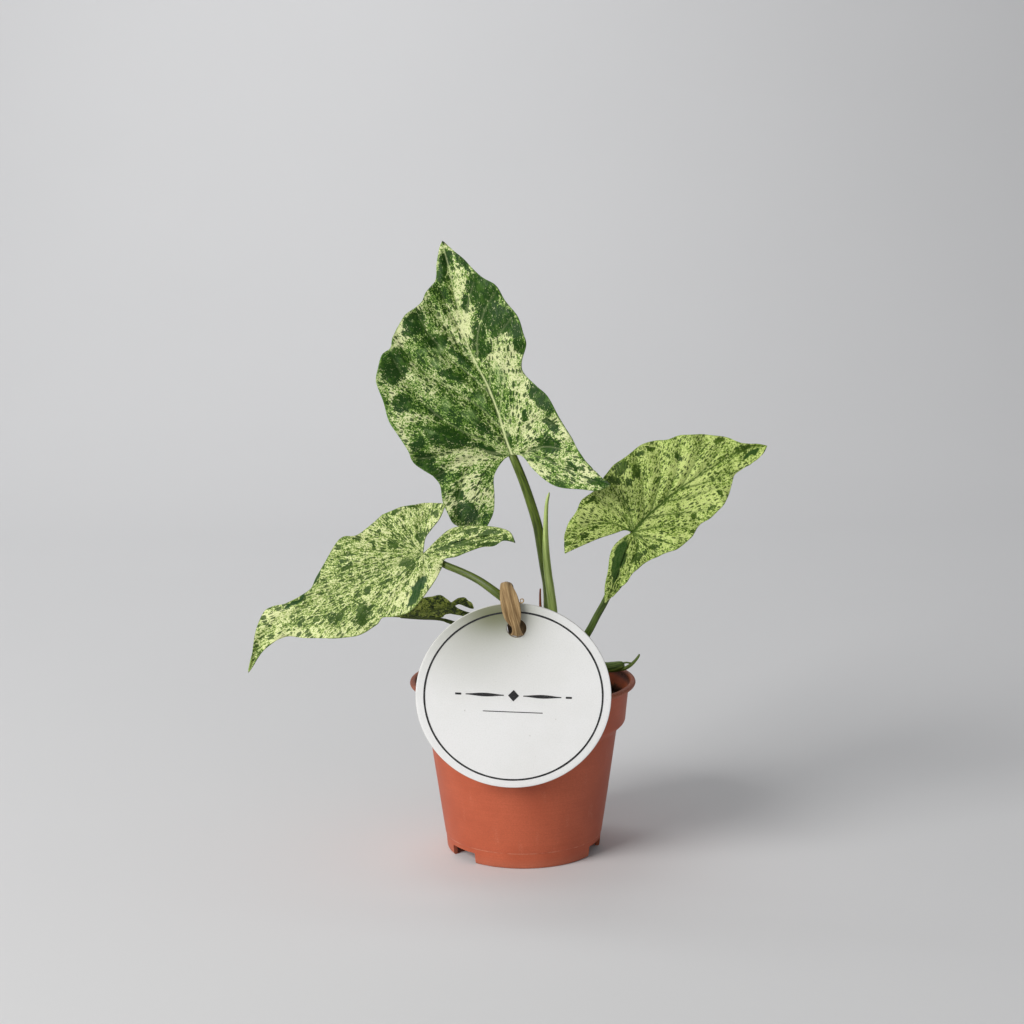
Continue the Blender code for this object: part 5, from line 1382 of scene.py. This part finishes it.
def earth_finish(name, tones, roughness=0.95):
    """Earth finish: two tones of noise on the soil, or the crumb's own number picked from a colour ramp."""
    finish, tree, shader = new_finish(name)
    place = millimetres(tree)
    fine = noise(place, 2.2, 6.0, 0.7)
    if tones:
        ramp = add(tree, "ValToRGB", {0: carried_by(tree, "tone")})
        ramp.color_ramp.interpolation = "CONSTANT"
        stops = ramp.color_ramp.elements
        for k, (at, colour) in enumerate(tones):
            stop = stops[k] if k < len(stops) else stops.new(at)
            stop.position = at
            stop.color = srgb(*colour)
        base = blend_colours(step_between(fine, 0.3, 0.7, 0.5, 0.0), Output(ramp), srgb(26, 18, 12))
    else:
        mixed = fine * 0.6 + noise(place, 0.35, 3.0) * 0.4
        base = blend_colours(step_between(mixed, 0.38, 0.62), srgb(34, 24, 16), srgb(84, 62, 42))
    fill(shader, {"Base Color": base, "Roughness": roughness, "Specular IOR Level": 0.2,
                  "Normal": bumped(fine, 0.9, 0.0004)})
    return finish


soil_finish = earth_finish("peat", ())
crumb_finish = earth_finish("crumbs", (
    (0.0, (48, 34, 22)), (0.35, (76, 52, 32)), (0.6, (104, 74, 46)), (0.78, (132, 96, 62)),
    (0.88, (70, 76, 34)), (0.94, (206, 198, 182))), 0.9)
points, faces = soil_surface()
put_piece("soil_surface", points, faces[:, ::-1], soil_finish, ("potting_soil",))
print("soil:", len(faces), "triangles")

# %% Crumbs, bark and fibres


def ball(subdivisions):
    """Corners and faces of a small ball, from Blender's own icosphere."""
    mesh = bpy.data.meshes.new("ball")
    shape = bmesh.new()
    bmesh.ops.create_icosphere(shape, subdivisions=subdivisions, radius=1.0)
    shape.to_mesh(mesh)
    shape.free()
    corners = np.array([v.co[:] for v in mesh.vertices])
    sides = np.array([p.vertices[:] for p in mesh.polygons])
    bpy.data.meshes.remove(mesh)
    return corners, sides


def scattered(count, seed, near=5.9, far=25.2):
    """Even random places on the soil, outside the crown and inside the pot's wall."""
    chance = np.random.RandomState(seed)
    spot = chance.uniform(-far, far, (count * 3, 2))
    good = (np.hypot(*spot.T) < far) & (np.hypot(spot[:, 0] - CROWN[0], spot[:, 1] - CROWN[1]) > near)
    return spot[good][:count], chance


def copied(faces, count, corners):
    """Triangles of count copies of a mesh with this many corners, one after another."""
    return (faces[None] + np.arange(count)[:, None, None] * corners).reshape(-1, 3)


def crumb_heap(count, subdivisions, small, large, seed):
    """Balls squashed, turned and roughened, one for each place, with their lower part in the soil."""
    corners, sides = ball(subdivisions)
    spot, chance = scattered(count, seed)
    count = len(spot)
    size = small + (large - small) * chance.rand(count) ** 2.5
    squash = chance.uniform(0.45, 1.25, (count, 1, 3))
    body = corners[None] * squash
    body = body * (1 + 0.35 * lumps(corners[None] + 9 * chance.rand(count, 1, 3), 1.3, seed)[..., None])
    turn = unit(chance.normal(size=(count, 4)))
    w, v = turn[:, None, :1], np.broadcast_to(turn[:, None, 1:], body.shape)
    cross = np.cross(v, body)
    body = body + 2 * w * cross + 2 * np.cross(v, cross)
    middle = places(*spot.T, soil_height(*spot.T) + 0.25 * size)
    body = body * size[:, None, None] + middle[:, None]
    return body.reshape(-1, 3), np.repeat(chance.rand(count), len(corners)), copied(sides, count, len(corners))


def fibre_heap(count, seed, rings=12, around=4):
    """Short bent root hairs, each a thin tube of a few rings, lying on the soil."""
    spot, chance = scattered(count, seed, 6.4, 24.0)
    count = len(spot)
    along = np.linspace(-1, 1, rings)[None, :]
    heading = chance.uniform(0, math.tau, (count, 1))
    bend = chance.uniform(-0.9, 0.9, (count, 1))
    half = chance.uniform(1.0, 3.2, (count, 1))
    way = heading + bend * along
    x = spot[:, :1] + half * along * np.cos(way)
    y = spot[:, 1:] + half * along * np.sin(way)
    keep = np.minimum(1, 25.0 / np.hypot(x, y))
    x, y = x * keep, y * keep
    z = soil_height(x, y) + 0.12 + chance.uniform(0.05, 0.5, (count, 1)) * (1 - along ** 2)
    radius = (0.05 + 0.07 * chance.rand(count, 1)) * np.sqrt(np.clip(1.02 - along ** 2, 0, 1))
    angle = circle(around)[0][:, None]
    side = places(-np.sin(way), np.cos(way), 0.0)[:, :, None, :]
    ring = places(x, y, z)[:, :, None, :] + radius[..., None, None] * (
        np.cos(angle) * side + np.sin(angle) * np.array([0.0, 0.0, 1.0]))
    corners = rings * around
    faces = copied(grid_faces(rings, around, around=True), count, corners)
    return ring.reshape(-1, 3), np.repeat(0.6 + 0.27 * chance.rand(count), corners), faces


points, tone, faces = joined(
    [crumb_heap(300, 2, 0.5, 1.9, 21), crumb_heap(1500, 1, 0.18, 0.62, 22), fibre_heap(130, 23)])
put_piece("soil_crumbs", points, faces, crumb_finish, (), {"tone": tone})
print("crumbs and fibres:", len(faces), "triangles")

# %% [markdown]
# ## The hanging card
# The round card leans against the pot. It is one grid wound from the rim of the hole, over the face, round
# the outer edge and along the back to the hole again; the turned-over edges are what catch the light. Its
# finish carries a soft grey-green shade at the upper left, under the leaf that hangs over it. Its print is
# thin raised ink, made in the cell after this one.

# %% Card with its hole
CARD_CENTRE = np.array([-2.5, -31.05, 48.1])
CARD_RADIUS, CARD_THICK, HOLE_RADIUS, HOLE_UP = 24.15, 0.6, 2.35, 17.9
CARD_BEVEL = 0.09
CARD_PLACE = np.array(Matrix.Rotation(math.radians(7.0), 3, "X") @ Matrix.Rotation(math.radians(2.8), 3, "Y"))


def on_card(flat):
    """Places of spots on the card: x to the right, out in front of its middle layer, z up."""
    x, out, z = np.moveaxis(flat, -1, 0)
    return np.stack([x, -out, z], axis=-1) @ CARD_PLACE.T + CARD_CENTRE


def card_surface(around=360):
    """Rows: hole edge, face, outer edge, back; each row slides from the hole's circle to the card's."""
    half = CARD_THICK / 2
    edge = np.array([half - CARD_BEVEL, half - 0.3 * CARD_BEVEL])
    face = np.concatenate([[0.0, 0.004, 0.012], np.linspace(0.03, 0.97, 26), [0.99, 0.997, 1.0]])
    share = np.concatenate([face, [1.0], face[::-1], [0.0]])[:, None]
    front = np.concatenate([edge, np.full(len(face) - 4, half), edge[::-1]])
    out = np.concatenate([front, [0.0], -front, [0.0]])[:, None]
    angle = circle(around)
    inner_x, inner_z = HOLE_RADIUS * np.sin(angle), HOLE_UP + HOLE_RADIUS * np.cos(angle)
    x = inner_x + (CARD_RADIUS * np.sin(angle) - inner_x) * share
    z = inner_z + (CARD_RADIUS * np.cos(angle) - inner_z) * share
    return places(x, out, z), grid_faces(len(share), around, around=True, ring=True)


card_finish, tree, shader = new_finish("coated_card")
sheet = carried_by(tree, "sheet", "Vector")
sheet_x, sheet_out, sheet_z = parts_of(sheet)
pulp = noise(sheet, 3.0, 5.0, 0.65)
strands = noise(sheet, 1.6, 3.0, 0.6, (1.0, 1.0, 0.25))


def shade_spot(x0, z0, wide, high, depth):
    """Soft oval spot: depth times e to the minus squared distance, counted in its half widths."""
    away = ((sheet_x - x0) / wide) ** 2.0 + ((sheet_z - z0) / high) ** 2.0
    return maths("EXPONENT", away * -1.0) * depth


# painted shade: the card's front is darkened to grey-green at its upper left, as under the leaf that hangs over
# it
light = 1.0 - (shade_spot(-5.0, 21.5, 8.0, 5.0, 0.34) + shade_spot(-10.0, 20.0, 16.0, 14.0, 0.24))
shaded = (1.0 - light ** 2.2) * step_between(sheet_out, 0.1, 0.3, 0.0, 1.2)
cut = step_between(maths("ABSOLUTE", sheet_out), 0.24, 0.27, 1.0, 0.0)
from_hole = vector_maths("DISTANCE", sheet, (0.0, 0.0, HOLE_UP), "Value")
# painted shade: the cut wall of the hole is painted brown, as if in shadow
hole_wall_shade = cut * step_between(from_hole, HOLE_RADIUS + 0.15, HOLE_RADIUS + 0.3, 1.0, 0.0)
tint = layered(
    srgb(244, 244, 242),
    (step_between(noise(sheet, 0.06, 3.0), 0.35, 0.65), srgb(248, 248, 247)),
    (step_between(pulp, 0.3, 0.6, 0.25, 0.0), srgb(222, 223, 219)),
    (step_between(noise(sheet, 0.8, 2.0), 0.755, 0.79, 0.0, 0.5), srgb(176, 172, 162)),
    (shaded, srgb(124, 127, 98)),
    (cut, srgb(206, 205, 198)),
    (hole_wall_shade, srgb(126, 112, 86)))
fill(shader, {"Base Color": tint, "Roughness": slide(strands, 0.38, 0.52), "Specular IOR Level": 0.35,
              "Normal": bumped(pulp + strands, 0.25, 0.00004)})
flat, faces = card_surface()
card = put_piece("card_disc", on_card(flat), faces, card_finish, ("tag",), {"sheet": flat})
card.data.set_sharp_from_angle(angle=math.radians(50))
print(card.name, len(card.data.polygons), "triangles")

# %% [markdown]
# ## Printed border and ornament
# Print is a film of ink. Each mark here is a thin raised shape that stands a twentieth of a millimetre
# proud of the card: the border is a ring with a small rectangular section, and a rule is a strip whose
# width swells and thins along it. The ink isn't an even black: it is a little thin in places.

# %% Ink
ink_finish, tree, shader = new_finish("printing_ink")
thin = noise(carried_by(tree, "sheet", "Vector"), 2.4, 4.0, 0.7)
tint = blend_colours(step_between(thin, 0.5, 0.72, 0.0, 0.6), srgb(26, 26, 28), srgb(84, 84, 86))
fill(shader, {"Base Color": tint, "Roughness": slide(thin, 0.4, 0.6)})
INK, INK_ROOT = 0.05, 0.02
RULE_UP = 0.4


def ink_piece(name, x, z, closed=False):
    """Film between two lines: x and z are each a pair, the near line and the far one.

    A closed film is a ring. A strip is drawn in to a point at its first end, and its other end, which is
    as low as the film is thin, stays open.
    """
    x, z = (np.stack(np.broadcast_arrays(*pair), axis=1)[:, [0, 0, 1, 1]] for pair in (x, z))
    low, high = CARD_THICK / 2 - INK_ROOT, CARD_THICK / 2 + INK
    flat = places(x, np.array([low, high, high, low]), z)
    if not closed:
        first = np.repeat(flat[:1, :1] * 0.5 + flat[:1, 2:3] * 0.5, 4, axis=1)
        flat = np.concatenate([first, flat])
    faces = grid_faces(len(flat), 4, around=True, ring=closed)
    piece = put_piece(name, on_card(flat), faces, ink_finish, (), {"sheet": flat})
    piece.data.set_sharp_from_angle(angle=math.radians(30))
    return piece


angle = circle(480)[0]
ragged = 0.02 * lumps(places(9 * np.cos(angle), 9 * np.sin(angle), 0.0), 1.2, 6)
near, far = 21.78 - ragged, 22.22 + ragged
ink_piece("ink_ring", (near * np.sin(angle), far * np.sin(angle)), (near * np.cos(angle), far * np.cos(angle)),
          closed=True)


def ink_rule(name, left, right, height, width, swell, steps=40):
    """Level strip from left to right whose half width grows by swell in the middle."""
    s = np.linspace(-1, 1, steps)
    x = 0.5 * (left + right) + 0.5 * (right - left) * s
    half = 0.5 * width + swell * (1 - s ** 2) ** 2
    return ink_piece(name, (x, x), (height - half, height + half))


ink_rule("ink_left", -11.8, -2.4, RULE_UP, 0.24, 0.34)
ink_rule("ink_right", 2.4, 11.8, RULE_UP, 0.24, 0.34)
ink_rule("ink_dash_left", -14.4, -12.9, RULE_UP, 0.5, 0.0, 6)
ink_rule("ink_dash_right", 12.9, 14.4, RULE_UP, 0.5, 0.0, 6)
ink_rule("ink_under", -7.4, 7.4, -3.9, 0.2, 0.0, 20)
s = np.linspace(-1, 1, 13)
half = 1.5 * (1.001 - np.abs(s))
ink_piece("ink_lozenge", (1.35 * s, 1.35 * s), (RULE_UP - half, RULE_UP + half))
print("ink pieces made")

# %% [markdown]
# ## The raffia tie
# A flat strand of raffia is looped through the hole and round the left leaf's stalk. Its section is a flat
# oval with lengthwise ridges, carried round a closed line. A split fibre and a curled loose thread keep it
# from looking like a rubber band.

# %% Raffia loop with loose threads


def closed_line(points, count):
    """Smooth closed line through the points, count points evenly along it, and their lengths along it."""
    p = np.asarray(points, dtype=float)
    line = smooth_line(np.vstack([p[-3:], p, p[:4]]), 900)
    away = np.linalg.norm(line[:, :3] - p[0, :3], axis=1)
    middle = len(line) // 2
    part = line[away[:middle].argmin():middle + away[middle:].argmin() + 1]
    want = np.linspace(0, run_along(part)[-1], count, endpoint=False)
    return resampled(part, want), want[:, None]


def raffia_loop(around=56, count=320):
    """Flat oval section, half width from the line and 0.34 deep, with ridges that run along the strand."""
    line, run = closed_line(TIE_PATH, count)
    middle = line[:, :3]
    ahead = np.roll(middle, -1, axis=0) - np.roll(middle, 1, axis=0)
    out = unit(np.cross(ahead, (1.0, 0.0, 0.0)))
    wide = unit(np.cross(out, ahead))
    angle = circle(around)
    place = places(6 * np.cos(angle), 6 * np.sin(angle), 0.12 * run)
    ridge = 0.05 * lumps(place, 1.1, 8) + 0.035 * lumps(place, 2.6, 9)
    across = np.sign(np.cos(angle)) * np.abs(np.cos(angle)) ** 0.8 * (line[:, 3:] - 0.05)
    deep = np.sin(angle) * (0.34 + ridge) + 0.07 * np.cos(3 * across)
    points = middle[:, None] + across[..., None] * wide[:, None] + deep[..., None] * out[:, None]
    return points, grid_faces(count, around, around=True, ring=True), {"fibre": places(across, deep, run)}


points, faces, fields = raffia_loop()
put_piece("raffia_loop", points, faces, raffia_finish, ("tag_tie",), fields)
rod_piece("raffia_thread", RAFFIA_THREAD, raffia_finish, (), 50, 10, 0.1)
rod_piece("raffia_fray", RAFFIA_FRAY, raffia_finish, (), 40, 8, 0.1)
print("raffia:", len(faces), "triangles in the loop")
